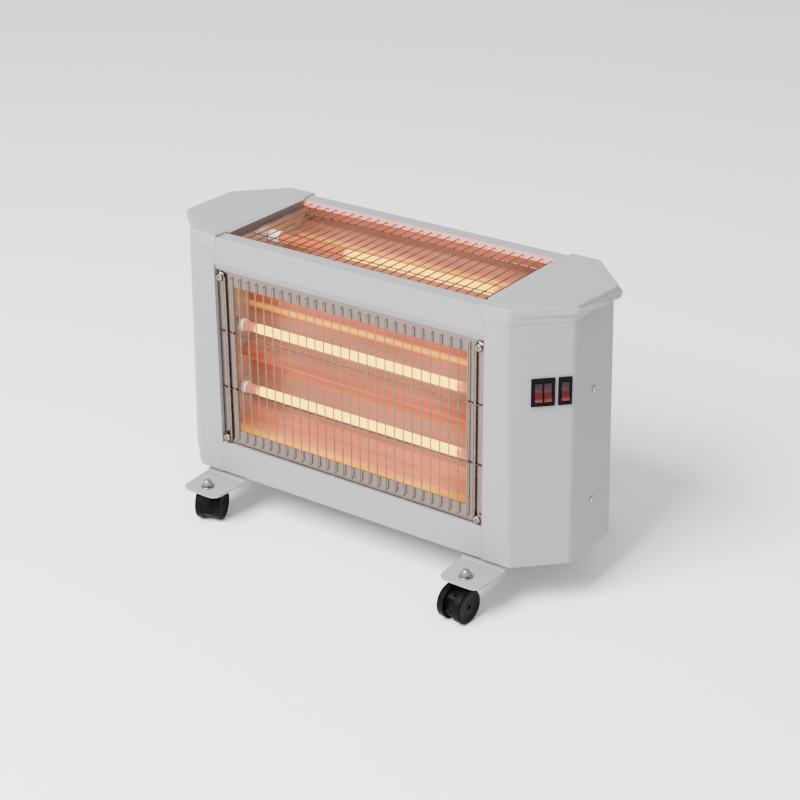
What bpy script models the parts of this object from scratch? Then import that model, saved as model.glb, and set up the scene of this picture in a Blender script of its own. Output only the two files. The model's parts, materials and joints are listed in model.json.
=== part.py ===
"""Quartz heater on castors: sheet body, two reflector chambers, three quartz tubes, wire grilles, switches.

Units are metres, +Z up. X runs along the body, the front looks towards -Y, and the floor is z = 0.
Every size that can be chosen by itself is a constant below; everything that fits, seats or lines up is
worked out from those constants and from the clearance CLEARANCE.
"""

import math

import bmesh
import bpy
from mathutils import Matrix, Vector

OBJECT_NAME = "quartz_heater"

# Fits
CLEARANCE = 0.0003
SHEET = 0.001
CUTTER_REACH = 0.004

# Body shell
BODY_LENGTH = 0.528
BODY_DEPTH = 0.178
CORNER_CUT = 0.048
CORNER_RADIUS = 0.010
SIDE_LEAN = 0.0047
PANEL_HEIGHT = 0.278
RETURN_FLANGE = 0.008
WINDOW_WIDTH = 0.362
WINDOW_HEIGHT = 0.215
WINDOW_SILL = 0.038

# Rails round the top opening
RAIL_INSET = 0.0047
RAIL_RISE = 0.014
RAIL_RADIUS = 0.003
RAIL_SLOPE = 0.004
RAIL_SLOPE_RISE = 0.009
RAIL_LIP = 0.009
OPENING_WIDTH = 0.139
OPENING_FLANGE = 0.008

# Moulded end caps, whose spread, sag, bulge and fall are shares of the ear's reach and drop
CAP_RISE = 0.0172
CAP_WALL = 0.0022
CAP_CREASE = 0.0018
CAP_SPREAD = 0.5
CAP_SAG = 0.3
CAP_TONGUE = 0.0043
CAP_LIP_DEPTH = 0.006
CAP_LIP_WALL = 0.0015
EAR_LEVEL = 0.0142
EAR_DROP = 0.0065
EAR_EDGE = 0.0062
EAR_RIM = 0.0004
EAR_VALLEY = 0.55
EAR_BULGE = 0.75
EAR_UNDERCUT = 0.8
EAR_FRONT_REACH = 0.004
EAR_REAR_REACH = 0.0095
REAR_REACH = 0.004
REAR_FALL = 0.7

# Pan and rear panel
PAN_SHEET = 0.0012
PAN_RIM = 0.010
PAN_SLOT_COUNT = 9
PAN_SLOT_LENGTH = 0.080
REAR_SLOT_COLUMNS = 10
REAR_SLOT_ROWS = 2
REAR_SLOT_LENGTH = 0.024
SLOT_WIDTH = 0.005

# Reflector chambers, whose knee is given as shares of the run from the floor to the rim
PLATE_SETBACK = 0.0115
FRAME_SETBACK = 0.005
FRAME_SIDE = 0.024
FRAME_HEAD_STRIP = 0.017
FRAME_SILL_STRIP = 0.019
FRAME_SCREW_MARGIN = 0.0075
REFLECTOR_SHEET = 0.0008
REFLECTOR_DEPTH = 0.040
REFLECTOR_FACET = 0.008
REFLECTOR_CROWN = 0.0176
RIDGE_HEIGHT = 0.016
RIDGE_SLOPE = 0.012
RIDGE_HALF_WIDTH = 0.004
TOP_REFLECTOR_DROP = 0.040
TOP_REFLECTOR_FLOOR = 0.044
KNEE_SPREAD = 0.45
KNEE_FALL = 0.72

# Tubes and their fittings
TUBE_DIAMETER = 0.0105
TUBE_WALL = 0.001
TUBE_COLD_END = 0.0224
TUBE_SETBACK = 0.020
TUBE_SPACING = 0.078
TUBE_TOP_DROP = 0.022
CORE_DIAMETER = 0.006
LEAD_DIAMETER = 0.0026
LEAD_STUB = 0.006
HOLDER_DIAMETER = 0.014
HOLDER_LENGTH = 0.015
HOLDER_NECK = 0.009
HOLDER_SOCKET = 0.006
HOLDER_TAIL = 0.006

# Grilles
WIRE_DIAMETER = 0.0016
WIRE_WELD = 0.0006
FRONT_WIRE_COUNT = 28
FRONT_WIRE_SIDE = 0.021
FRONT_WIRE_MARGIN = 0.006
CROSS_WIRE_HEIGHTS = (0.071, 0.141)
END_ROD_DIAMETER = 0.0034
END_ROD_OFFSET = 0.0035
ROD_LOOP_RADIUS = 0.0052
ROD_LOOP_TURN = 270
ROD_LOOP_STEP = 45
TOP_WIRE_COUNT = 28
TOP_WIRE_SIDE = 0.0055
TOP_WIRE_DROP = 0.0035
LONG_WIRE_PLACE = 0.043

# Switches on the front right corner face
BEZEL_HEIGHT = 0.031
DOUBLE_BEZEL_WIDTH = 0.025
SINGLE_BEZEL_WIDTH = 0.0145
BEZEL_THICKNESS = 0.0018
SWITCH_BODY_DEPTH = 0.024
SWITCH_BODY_INSET = 0.0018
DOUBLE_SWITCH_PLACE = 0.0328
SINGLE_SWITCH_PLACE = 0.0562
SWITCH_HEIGHT = 0.2029
ROCKER_WIDTH = 0.0078
ROCKER_LENGTH = 0.0196
ROCKER_BODY = 0.0052
ROCKER_PITCH = 0.0098
ROCKER_ROOF = 0.0016
ROCKER_THROW = 20.0
WELL_EXTRA = 0.0016
WELL_DEPTH = 0.011

# Brackets and castors
WHEEL_DIAMETER = 0.040
WHEEL_WIDTH = 0.0092
WHEEL_EDGE = 0.0022
WHEEL_HUB_DIAMETER = 0.0128
WHEEL_DISH_DIAMETER = 0.0312
CASTOR_WEB = 0.012
CASTOR_HEIGHT = 0.044
CASTOR_TRAIL = 0.0125
CASTOR_INSET = 0.083
CASTOR_REACH = 0.030
WEB_SETBACK = 0.0035
WEB_FLOOR = 0.0064
WEB_ARC_END = 100.0
WEB_STEPS = 8
BOSS_WALL = 0.003
BOSS_SHOULDER = 0.0014
AXLE_DIAMETER = 0.004
STEM_DIAMETER = 0.008
STEM_FOOT = 0.0123
STEM_COLLAR_DIAMETER = 0.016
STEM_COLLAR = 0.002
NUT_DIAMETER = 0.013
NUT_HEIGHT = 0.0085
WASHER_DIAMETER = 0.0155
WASHER_THICKNESS = 0.0012
BRACKET_SHEET = 0.002
BRACKET_WIDTH = 0.056
BRACKET_NARROWING = 0.0025
BRACKET_OVERHANG = 0.0465
BRACKET_FLANGE = 0.0045
BRACKET_CORNER = 0.010
BRACKET_STEP = 0.0077
BRACKET_STEP_RUN = 0.010
BRACKET_STEP_INSET = 0.0021
SWIVEL_LEFT = 22.0
SWIVEL_RIGHT = -4.0

# Fasteners and electrical fittings; a screw's crown and rim are shares of its head
SCREW_HEAD_DIAMETER = 0.007
SCREW_HEAD = 0.0022
SCREW_CROWN = 0.6
SCREW_RIM = 0.45
SCREW_SHANK = 0.0035
SCREW_LENGTH = 0.009
SIDE_SCREW_HEIGHTS = (0.059, 0.189)
FITTING_GAP = 0.0025
BLOCK_SIZE = (0.034, 0.020, 0.018)
TILT_SIZE = (0.028, 0.024, 0.022)
TILT_PLACE = 0.040
INLET_DIAMETER = 0.013
INLET_BORE = 0.0072
INLET_COLLAR_DIAMETER = 0.0162
INLET_COLLAR = 0.004
INLET_NOSE_DIAMETER = 0.0118
INLET_NOSE = 0.006
INLET_DEPTH = 0.007
INLET_HEIGHT = 0.026
INLET_PLACE = 0.140

# Internal wires; each bend is an offset from the place that the wire comes from or goes to
CABLE_DIAMETER = 0.0026
CABLE_PASS_HEIGHT = 0.020
CABLE_PASS = 0.008
SLEEVE_DIAMETER = 0.007
SLEEVE_LENGTH = 0.022
SLEEVE_OVERLAP = 0.006
LEFT_SLEEVE_RISE = 0.050
LEFT_SLEEVE_GAP = 0.016
BRANCH_DEPTH = 0.004
BRANCH_STAGGER = 0.001
BRANCH_ANGLE = 40.0
BRANCH_TURN = 72.0
TRUNK_LOOP = ((-0.002, 0.004, 0.012), (-0.008, 0.020, 0.0))
TRUNK_APPROACH = (-0.016, 0.014, 0.008)
TRUNK_RISE = (0.003, 0.0, 0.008)
LEAD_BENDS = ((0.0125, -0.018), (0.008, -0.0035), (0.004, 0.0), (0.0, 0.0))
SWITCH_BENDS = ((0.030, 0.015), (0.004, 0.009), (0.0, 0.004), (0.0, 0.0))

# Facets of round pieces
WHEEL_STEPS = 24
ROUND_STEPS = 14
SMALL_STEPS = 12
ARC_STEPS = 3
EDGE_STEPS = 2
CAP_SIDE_STEPS = 4
ROUTE_STEPS = 3
SLOT_ARC = (-60, 0, 60)
NUT_ARC = (60, 30, 0)

# Levels and half sizes that follow from the sizes above
HALF_LENGTH = BODY_LENGTH / 2
HALF_DEPTH = BODY_DEPTH / 2
HALF_WINDOW = WINDOW_WIDTH / 2
AXLE_HEIGHT = WHEEL_DIAMETER / 2 * math.cos(math.pi / WHEEL_STEPS)
BRACKET_TOP = CASTOR_HEIGHT + BRACKET_SHEET
PANEL_BOTTOM = BRACKET_TOP + BRACKET_STEP + CLEARANCE
PANEL_TOP = PANEL_BOTTOM + PANEL_HEIGHT
RAIL_TOP = PANEL_TOP + RAIL_RISE
RAIL_HALF = HALF_WINDOW - RAIL_INSET
CAP_BOTTOM = PANEL_TOP + CLEARANCE
CAP_TOP = CAP_BOTTOM + CAP_RISE
WINDOW_BOTTOM = PANEL_BOTTOM + WINDOW_SILL
WINDOW_TOP = WINDOW_BOTTOM + WINDOW_HEIGHT
SEAM_X = RAIL_HALF + CLEARANCE
OPENING_HALF = RAIL_HALF - CAP_TONGUE
FRAME_FRONT = -HALF_DEPTH + FRAME_SETBACK
FRAME_OPENING_HALF = HALF_WINDOW - FRAME_SIDE
FRAME_SILL = WINDOW_BOTTOM + FRAME_SILL_STRIP
FRAME_HEAD = WINDOW_TOP - FRAME_HEAD_STRIP
FRAME_MIDDLE = (FRAME_SILL + FRAME_HEAD) / 2
PLATE_INNER = HALF_WINDOW - PLATE_SETBACK
PLATE_OUTER = PLATE_INNER + SHEET
PLATE_FLANGE = HALF_WINDOW - SHEET
PLATE_TOP = RAIL_TOP - OPENING_FLANGE - CLEARANCE
PAN_TOP = PANEL_BOTTOM + PAN_SHEET
PAN_HALF_DEPTH = HALF_DEPTH - RETURN_FLANGE - CLEARANCE
CABLE_PASS_Z = PAN_TOP + CABLE_PASS_HEIGHT
REFLECTOR_FRONT = FRAME_FRONT + SHEET + CLEARANCE
REFLECTOR_HALF = PLATE_INNER - CLEARANCE
TUBE_Y = -HALF_DEPTH + TUBE_SETBACK
CASTOR_X = HALF_LENGTH - CASTOR_INSET
CASTOR_Y = HALF_DEPTH + CASTOR_REACH
BRACKET_STEP_END = HALF_DEPTH - BRACKET_STEP_INSET
END_ROD_X = PLATE_OUTER + END_ROD_OFFSET
FITTING_X = PLATE_FLANGE + FITTING_GAP
FRAME_SCREW_LEVELS = (WINDOW_BOTTOM + FRAME_SCREW_MARGIN, WINDOW_TOP - FRAME_SCREW_MARGIN)
TUBE_PLACES = {
    "front_lower": (TUBE_Y, FRAME_MIDDLE - TUBE_SPACING / 2),
    "front_upper": (TUBE_Y, FRAME_MIDDLE + TUBE_SPACING / 2),
    "top": (0.0, RAIL_TOP - TUBE_TOP_DROP),
}
SIDES = {"left": -1, "right": 1}
ENDS = {"front": -1, "rear": 1}


def clear_scene():
    """Removes every object of the scene."""
    for obj in list(bpy.data.objects):
        bpy.data.objects.remove(obj, do_unlink=True)


def new_collection(name, hidden=False):
    """A collection of the scene; a hidden one is left out of renders."""
    collection = bpy.data.collections.new(name)
    bpy.context.scene.collection.children.link(collection)
    collection.hide_render = hidden
    return collection


def new_material(name, color, roughness, metallic=0.0, transmission=0.0, emission=0.0):
    """A Principled BSDF finish."""
    material = bpy.data.materials.new(name)
    material.use_nodes = True
    shader = material.node_tree.nodes["Principled BSDF"]
    shader.inputs["Base Color"].default_value = (*color, 1.0)
    shader.inputs["Roughness"].default_value = roughness
    shader.inputs["Metallic"].default_value = metallic
    shader.inputs["Transmission Weight"].default_value = transmission
    shader.inputs["Emission Color"].default_value = (*color, 1.0)
    shader.inputs["Emission Strength"].default_value = emission
    return material


clear_scene()
PARTS = new_collection(OBJECT_NAME)
CUTTERS = new_collection("cutters", hidden=True)

POWDER_COAT = new_material("powder_coated_steel", (0.58, 0.59, 0.61), 0.38)
CAP_PLASTIC = new_material("moulded_cap_plastic", (0.57, 0.58, 0.60), 0.42)
POLISHED = new_material("polished_reflector", (0.80, 0.79, 0.77), 0.10, 1.0)
GALVANISED = new_material("galvanised_sheet", (0.55, 0.55, 0.54), 0.35, 1.0)
CHROME_WIRE = new_material("chromed_wire", (0.62, 0.61, 0.60), 0.18, 1.0)
QUARTZ = new_material("quartz_glass", (0.95, 0.93, 0.90), 0.05, 0.0, 0.9)
GLOWING = new_material("glowing_coil", (1.0, 0.55, 0.16), 0.5, 0.0, 0.0, 6.0)
CERAMIC = new_material("white_ceramic", (0.78, 0.75, 0.70), 0.55)
BLACK_PLASTIC = new_material("black_plastic", (0.012, 0.012, 0.013), 0.35)
RED_PLASTIC = new_material("red_translucent_plastic", (0.35, 0.02, 0.02), 0.22)
ZINC_STEEL = new_material("zinc_plated_steel", (0.60, 0.60, 0.61), 0.25, 1.0)
CABLE_RUBBER = new_material("cable_insulation", (0.30, 0.30, 0.31), 0.55)


def add_object(name, mesh, material, collection=PARTS):
    """Links a mesh to a new object with one material."""
    obj = bpy.data.objects.new(name, mesh)
    mesh.materials.clear()
    mesh.materials.append(material)
    collection.objects.link(obj)
    if collection == CUTTERS:
        obj.hide_render = True
        obj.display_type = "WIRE"
    return obj


def mesh_from(bm, name):
    """Turns a bmesh into a mesh with its faces pointing out."""
    bmesh.ops.recalc_face_normals(bm, faces=bm.faces)
    mesh = bpy.data.meshes.new(name)
    bm.to_mesh(mesh)
    bm.free()
    return mesh


def smooth_round(obj, angle=35):
    """Shades a round piece smooth, with its edges kept sharp."""
    obj.data.shade_smooth()
    obj.data.set_sharp_from_angle(angle=math.radians(angle))
    return obj


def rounded(path, radius, steps=ARC_STEPS):
    """An open 2D path whose inner corners are turned with a radius, or with one radius for each corner."""
    radii = radius if isinstance(radius, (list, tuple)) else [radius] * (len(path) - 2)
    out = [tuple(path[0])]
    for i, r in enumerate(radii):
        here = Vector(path[i + 1])
        back = (Vector(path[i]) - here).normalized()
        ahead = (Vector(path[i + 2]) - here).normalized()
        half = back.angle(ahead) / 2
        if r <= 0 or half > math.pi / 2 - 0.01:
            out.append(tuple(here))
            continue
        middle = here + (back + ahead).normalized() * (r / math.sin(half))
        first = here + back * (r / math.tan(half))
        last = here + ahead * (r / math.tan(half))
        for k in range(steps + 1):
            spot = first.lerp(last, k / steps)
            out.append(tuple(middle + (spot - middle).normalized() * r))
    out.append(tuple(path[-1]))
    return out


def solidify(obj, thickness, offset):
    """Gives an open sheet its thickness, to one side of the drawn surface."""
    modifier = obj.modifiers.new("thickness", "SOLIDIFY")
    modifier.thickness = thickness
    modifier.offset = offset
    modifier.use_even_offset = True
    return obj


def ruled_sheet(name, lower, upper, thickness, material, offset=1.0):
    """A folded sheet between two paths of 3D points, thickened to one side."""
    bm = bmesh.new()
    low = [bm.verts.new(p) for p in lower]
    high = [bm.verts.new(p) for p in upper]
    for i in range(len(low) - 1):
        bm.faces.new((low[i], low[i + 1], high[i + 1], high[i]))
    mesh = bpy.data.meshes.new(name)
    bm.to_mesh(mesh)
    bm.free()
    return solidify(add_object(name, mesh, material), thickness, offset)


def folded_along_x(name, section, half_length, thickness, material, offset=1.0):
    """A folded sheet whose section of (y, z) points runs along X, the same to both sides."""
    start = [(-half_length, y, z) for y, z in section]
    stop = [(half_length, y, z) for y, z in section]
    return ruled_sheet(name, start, stop, thickness, material, offset)


def block_mesh(name, low, high):
    """A box between two corners."""
    bm = bmesh.new()
    size = [b - a for a, b in zip(low, high)]
    middle = [(a + b) / 2 for a, b in zip(low, high)]
    matrix = Matrix.Translation(middle) @ Matrix.Diagonal((*size, 1.0))
    bmesh.ops.create_cube(bm, size=1.0, matrix=matrix)
    return mesh_from(bm, name)


def block(name, low, high, material, collection=PARTS):
    """A box as an object."""
    return add_object(name, block_mesh(name, low, high), material, collection)


def prism_mesh(name, outline, low, high):
    """A flat outline of (x, y) points raised from one level to another."""
    bm = bmesh.new()
    bottom = bm.faces.new([bm.verts.new((x, y, low)) for x, y in outline])
    raised = bmesh.ops.extrude_face_region(bm, geom=[bottom])["geom"]
    top = [v for v in raised if isinstance(v, bmesh.types.BMVert)]
    bmesh.ops.translate(bm, verts=top, vec=(0, 0, high - low))
    return mesh_from(bm, name)


def turned_mesh(name, profile, steps):
    """A closed profile of (radius, height) points turned round Z, cut from the Screw modifier's result."""
    mesh = bpy.data.meshes.new(name)
    count = len(profile)
    closed = profile[0][0] > 0 and profile[-1][0] > 0
    edges = [(i, i + 1) for i in range(count - 1)]
    if closed:
        edges.append((count - 1, 0))
    mesh.from_pydata([(r, 0.0, z) for r, z in profile], edges, [])
    helper = bpy.data.objects.new(name + "_profile", mesh)
    CUTTERS.objects.link(helper)
    screw = helper.modifiers.new("turn", "SCREW")
    screw.steps = steps
    screw.render_steps = steps
    screw.use_merge_vertices = True
    screw.merge_threshold = 0.00001
    graph = bpy.context.evaluated_depsgraph_get()
    made = bpy.data.meshes.new_from_object(helper.evaluated_get(graph))
    bpy.data.objects.remove(helper)
    bm = bmesh.new()
    bm.from_mesh(made)
    bmesh.ops.remove_doubles(bm, verts=bm.verts, dist=0.00001)
    return mesh_from(bm, name)


def turned(name, profile, steps, material, matrix=None, collection=PARTS):
    """A turned piece, placed by a matrix."""
    obj = add_object(name, turned_mesh(name, profile, steps), material, collection)
    if matrix is not None:
        obj.matrix_world = matrix
    return smooth_round(obj)


def rod_profile(radius, low, high):
    """The profile of a plain round bar."""
    return [(0.0, high), (radius, high), (radius, low), (0.0, low)]


def ring_profile(outer, inner, low, high):
    """The profile of a plain ring."""
    return [(inner, high), (outer, high), (outer, low), (inner, low)]


def hole_mesh(diameter, steps=SMALL_STEPS):
    """A cutter along Z for a hole that clears a round piece, through a thin sheet at 0."""
    return turned_mesh("hole", rod_profile(diameter / 2 + CLEARANCE, -CUTTER_REACH, CUTTER_REACH), steps)


def joined_mesh(name, placed):
    """One mesh from several (mesh, matrix) pairs, left as separate solids."""
    bm = bmesh.new()
    for mesh, matrix in placed:
        part = mesh.copy()
        part.transform(matrix)
        bm.from_mesh(part)
        bpy.data.meshes.remove(part)
    mesh = bpy.data.meshes.new(name)
    bm.to_mesh(mesh)
    bm.free()
    return mesh


def combine(obj, other, operation, solver):
    """Cuts or joins one object with another."""
    modifier = obj.modifiers.new(operation.lower(), "BOOLEAN")
    modifier.operation = operation
    modifier.solver = solver
    modifier.object = other
    return obj


def cut(obj, name, mesh, matrix=None):
    """Cuts a mesh out of an object."""
    cutter = add_object(name + "_cutter", mesh, obj.data.materials[0], CUTTERS)
    if matrix is not None:
        cutter.matrix_world = matrix
    return combine(obj, cutter, "DIFFERENCE", "EXACT")


def weld(obj, name, mesh, matrix=None, solver="EXACT"):
    """Joins a mesh to an object."""
    other = add_object(name + "_joined", mesh, obj.data.materials[0], CUTTERS)
    if matrix is not None:
        other.matrix_world = matrix
    return combine(obj, other, "UNION", solver)


def wire_mesh(name, path, diameter, resolution=1, closed=False):
    """A round wire along a path of points, as a closed mesh."""
    curve = bpy.data.curves.new(name, "CURVE")
    curve.dimensions = "3D"
    curve.bevel_depth = diameter / 2
    curve.bevel_resolution = resolution
    curve.use_fill_caps = True
    spline = curve.splines.new("POLY")
    spline.points.add(len(path) - 1)
    for point, place in zip(spline.points, path):
        point.co = (*place, 1.0)
    spline.use_cyclic_u = closed
    helper = bpy.data.objects.new(name + "_curve", curve)
    CUTTERS.objects.link(helper)
    graph = bpy.context.evaluated_depsgraph_get()
    made = bpy.data.meshes.new_from_object(helper.evaluated_get(graph))
    bpy.data.objects.remove(helper)
    bm = bmesh.new()
    bm.from_mesh(made)
    bmesh.ops.remove_doubles(bm, verts=bm.verts, dist=0.00001)
    return mesh_from(bm, name)


def wires_mesh(name, paths, diameter):
    """Several straight or bent wires in one mesh, left as separate solids."""
    return joined_mesh(name, [(wire_mesh("wire", path, diameter), Matrix.Identity(4)) for path in paths])


def smooth_route(points, per_span=ROUTE_STEPS):
    """Points on one smooth curve through the route's own points."""
    knots = [Vector(p) for p in points]
    knots = [knots[0] * 2 - knots[1], *knots, knots[-1] * 2 - knots[-2]]
    out = []
    for a, b, c, d in zip(knots, knots[1:], knots[2:], knots[3:]):
        for k in range(per_span):
            t = k / per_span
            bend = (2 * a - 5 * b + 4 * c - d) * t**2
            twist = (3 * b - a - 3 * c + d) * t**3
            out.append((2 * b + (c - a) * t + bend + twist) / 2)
    out.append(knots[-2])
    return out


def mirrored_x(mesh, name):
    """The mirror image of a mesh across the body's middle."""
    bm = bmesh.new()
    bm.from_mesh(mesh)
    bmesh.ops.scale(bm, verts=bm.verts, vec=(-1, 1, 1))
    bmesh.ops.reverse_faces(bm, faces=bm.faces)
    copy = bpy.data.meshes.new(name)
    bm.to_mesh(copy)
    bm.free()
    return copy


# Outline of the body in plan


def panel_lean(height):
    """How far the side and corner faces have leaned inwards at a height above the panel's lower edge."""
    return SIDE_LEAN * height / PANEL_HEIGHT


def corner_points(inset=0.0, inner_x=HALF_WINDOW, lean=0.0):
    """The right end's sharp outline, from the front strip round the cut corners to the rear strip."""
    side = HALF_LENGTH - inset - lean
    front = HALF_DEPTH - inset
    diagonal = HALF_LENGTH + HALF_DEPTH - CORNER_CUT - (inset + lean) * math.sqrt(2)
    return [
        (inner_x, -front),
        (diagonal - front, -front),
        (side, side - diagonal),
        (side, diagonal - side),
        (diagonal - front, front),
        (inner_x, front),
    ]


def corner_frame(along, height):
    """Axes on the front right cut corner: X along the face, Y up the leaning face, Z out of it."""
    across = Vector((1.0, 1.0, 0.0)).normalized()
    outward = Vector((1.0, -1.0, 0.0)).normalized()
    upward = (Vector((0.0, 0.0, PANEL_HEIGHT)) - outward * SIDE_LEAN).normalized()
    foot = Vector((HALF_LENGTH - CORNER_CUT, -HALF_DEPTH, PANEL_BOTTOM + height))
    place = foot + across * along - outward * panel_lean(height)
    axes = Matrix((across, upward, across.cross(upward))).transposed().to_4x4()
    return Matrix.Translation(place) @ axes


def side_frame(sign, height):
    """Axes on the middle of a leaning side face: Z out of it."""
    place = Matrix.Translation((sign * (HALF_LENGTH - panel_lean(height)), 0.0, PANEL_BOTTOM + height))
    tilt = math.atan2(PANEL_HEIGHT, SIDE_LEAN)
    return place @ Matrix.Rotation(sign * tilt, 4, "Y")


def panel_path(lean):
    """The folded side panel's outer line in plan, at the level where its faces have leaned that far."""
    flange_y = HALF_DEPTH - RETURN_FLANGE
    outer = corner_points(lean=lean)
    path = [(outer[0][0], -flange_y), *outer, (outer[-1][0], flange_y)]
    return rounded(path, [0.0, *[CORNER_RADIUS] * 4, 0.0])


def make_side_panels():
    """The two folded side panels; the right one has the switch holes."""
    for side, sign in SIDES.items():
        lower = [(sign * x, y, PANEL_BOTTOM) for x, y in panel_path(0.0)]
        upper = [(sign * x, y, PANEL_TOP) for x, y in panel_path(SIDE_LEAN)]
        panel = ruled_sheet(f"side_panel_{side}", lower, upper, SHEET, POWDER_COAT, -float(sign))
        for i, height in enumerate(SIDE_SCREW_HEIGHTS):
            cut(panel, f"side_{side}_screw_{i}", hole_mesh(SCREW_SHANK), side_frame(sign, height))
        if side == "right":
            cut_switch_holes(panel)


def cut_switch_holes(panel):
    """The rectangular holes behind the switch bezels."""
    half_height = BEZEL_HEIGHT / 2 - SWITCH_BODY_INSET + CLEARANCE
    for label, width, place in switch_places():
        half = width / 2 - SWITCH_BODY_INSET + CLEARANCE
        hole = block_mesh("hole", (-half, -half_height, -CUTTER_REACH), (half, half_height, CUTTER_REACH))
        cut(panel, f"{label}_switch_hole", hole, corner_frame(place, SWITCH_HEIGHT))


def switch_places():
    """Each switch with its bezel width and its place along the cut corner."""
    return (
        ("double", DOUBLE_BEZEL_WIDTH, DOUBLE_SWITCH_PLACE),
        ("single", SINGLE_BEZEL_WIDTH, SINGLE_SWITCH_PLACE),
    )


def make_rails():
    """The front and rear top rails and the front bottom rail."""
    inner_y = OPENING_WIDTH / 2
    shared = [(-inner_y, RAIL_TOP - OPENING_FLANGE), (-inner_y, RAIL_TOP), (-HALF_DEPTH, RAIL_TOP)]
    sloped_y = -HALF_DEPTH + RAIL_SLOPE
    front = [
        *shared,
        (-HALF_DEPTH, WINDOW_TOP + RAIL_SLOPE_RISE),
        (sloped_y, WINDOW_TOP),
        (sloped_y + RAIL_LIP, WINDOW_TOP),
    ]
    radii = [SHEET, RAIL_RADIUS, RAIL_RADIUS * 2, SHEET]
    half = HALF_WINDOW - CLEARANCE
    rail = folded_along_x("front_top_rail", rounded(front, radii), half, SHEET, POWDER_COAT, -1.0)
    corners = []
    for sign in SIDES.values():
        low = (min(sign * RAIL_HALF, sign * HALF_WINDOW), -HALF_DEPTH - SHEET, PANEL_TOP)
        high = (max(sign * RAIL_HALF, sign * HALF_WINDOW), 0.0, RAIL_TOP + SHEET)
        corners.append((block_mesh("corner", low, high), Matrix.Identity(4)))
    cut(rail, "rail_corners", joined_mesh("rail_corners", corners))
    tuck = SHEET + CLEARANCE
    rear = [
        *shared,
        (-HALF_DEPTH, PANEL_TOP),
        (-HALF_DEPTH + tuck, PANEL_TOP),
        (-HALF_DEPTH + tuck, PANEL_TOP - PAN_RIM),
    ]
    rear = [(-y, z) for y, z in rounded(rear, [SHEET, RAIL_RADIUS, 0.0, 0.0])]
    folded_along_x("rear_top_rail", rear, RAIL_HALF, SHEET, POWDER_COAT)
    lip_y = FRAME_FRONT - CLEARANCE
    bottom = [
        (-PAN_HALF_DEPTH - CLEARANCE, PANEL_BOTTOM),
        (-HALF_DEPTH, PANEL_BOTTOM),
        (-HALF_DEPTH, WINDOW_BOTTOM),
        (lip_y, WINDOW_BOTTOM),
    ]
    bottom = rounded(bottom, [SHEET, SHEET])
    folded_along_x("front_bottom_rail", bottom, half, SHEET, POWDER_COAT)


def slot_mesh(length):
    """A cutter for a slot with round ends, along X, through a thin sheet at 0."""
    radius = SLOT_WIDTH / 2
    run = length / 2 - radius
    arc = [math.radians(a) for a in SLOT_ARC]
    right = [(run + radius * math.cos(a), radius * math.sin(a)) for a in arc]
    left = [(-x, -y) for x, y in right]
    return prism_mesh("slot", right + left, -CUTTER_REACH, CUTTER_REACH)


def make_rear_panel():
    """The rear panel with its rows of ventilation slots and the cable hole."""
    half = HALF_WINDOW - CLEARANCE
    section = [
        (PAN_HALF_DEPTH + CLEARANCE, PANEL_BOTTOM),
        (HALF_DEPTH, PANEL_BOTTOM),
        (HALF_DEPTH, PANEL_TOP - CLEARANCE),
    ]
    section = rounded(section, SHEET)
    panel = folded_along_x("rear_panel", section, half, SHEET, POWDER_COAT, -1.0)
    pitch = 2 * half / REAR_SLOT_COLUMNS
    turn = Matrix.Rotation(math.pi / 2, 4, "X")
    slots = []
    for row in range(REAR_SLOT_ROWS):
        level = PANEL_BOTTOM + PANEL_HEIGHT * (row + 1) / (REAR_SLOT_ROWS + 1)
        for column in range(REAR_SLOT_COLUMNS):
            place = (-half + pitch * (column + 0.5), HALF_DEPTH, level)
            slots.append((slot_mesh(REAR_SLOT_LENGTH), Matrix.Translation(place) @ turn))
    cut(panel, "rear_slots", joined_mesh("rear_slots", slots))
    cut(panel, "inlet_hole", hole_mesh(INLET_DIAMETER, ROUND_STEPS), inlet_frame())


def inlet_frame():
    """Axes of the cable inlet: Z out of the rear panel."""
    place = Matrix.Translation((INLET_PLACE, HALF_DEPTH, PANEL_BOTTOM + INLET_HEIGHT))
    return place @ Matrix.Rotation(-math.pi / 2, 4, "X")


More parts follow.
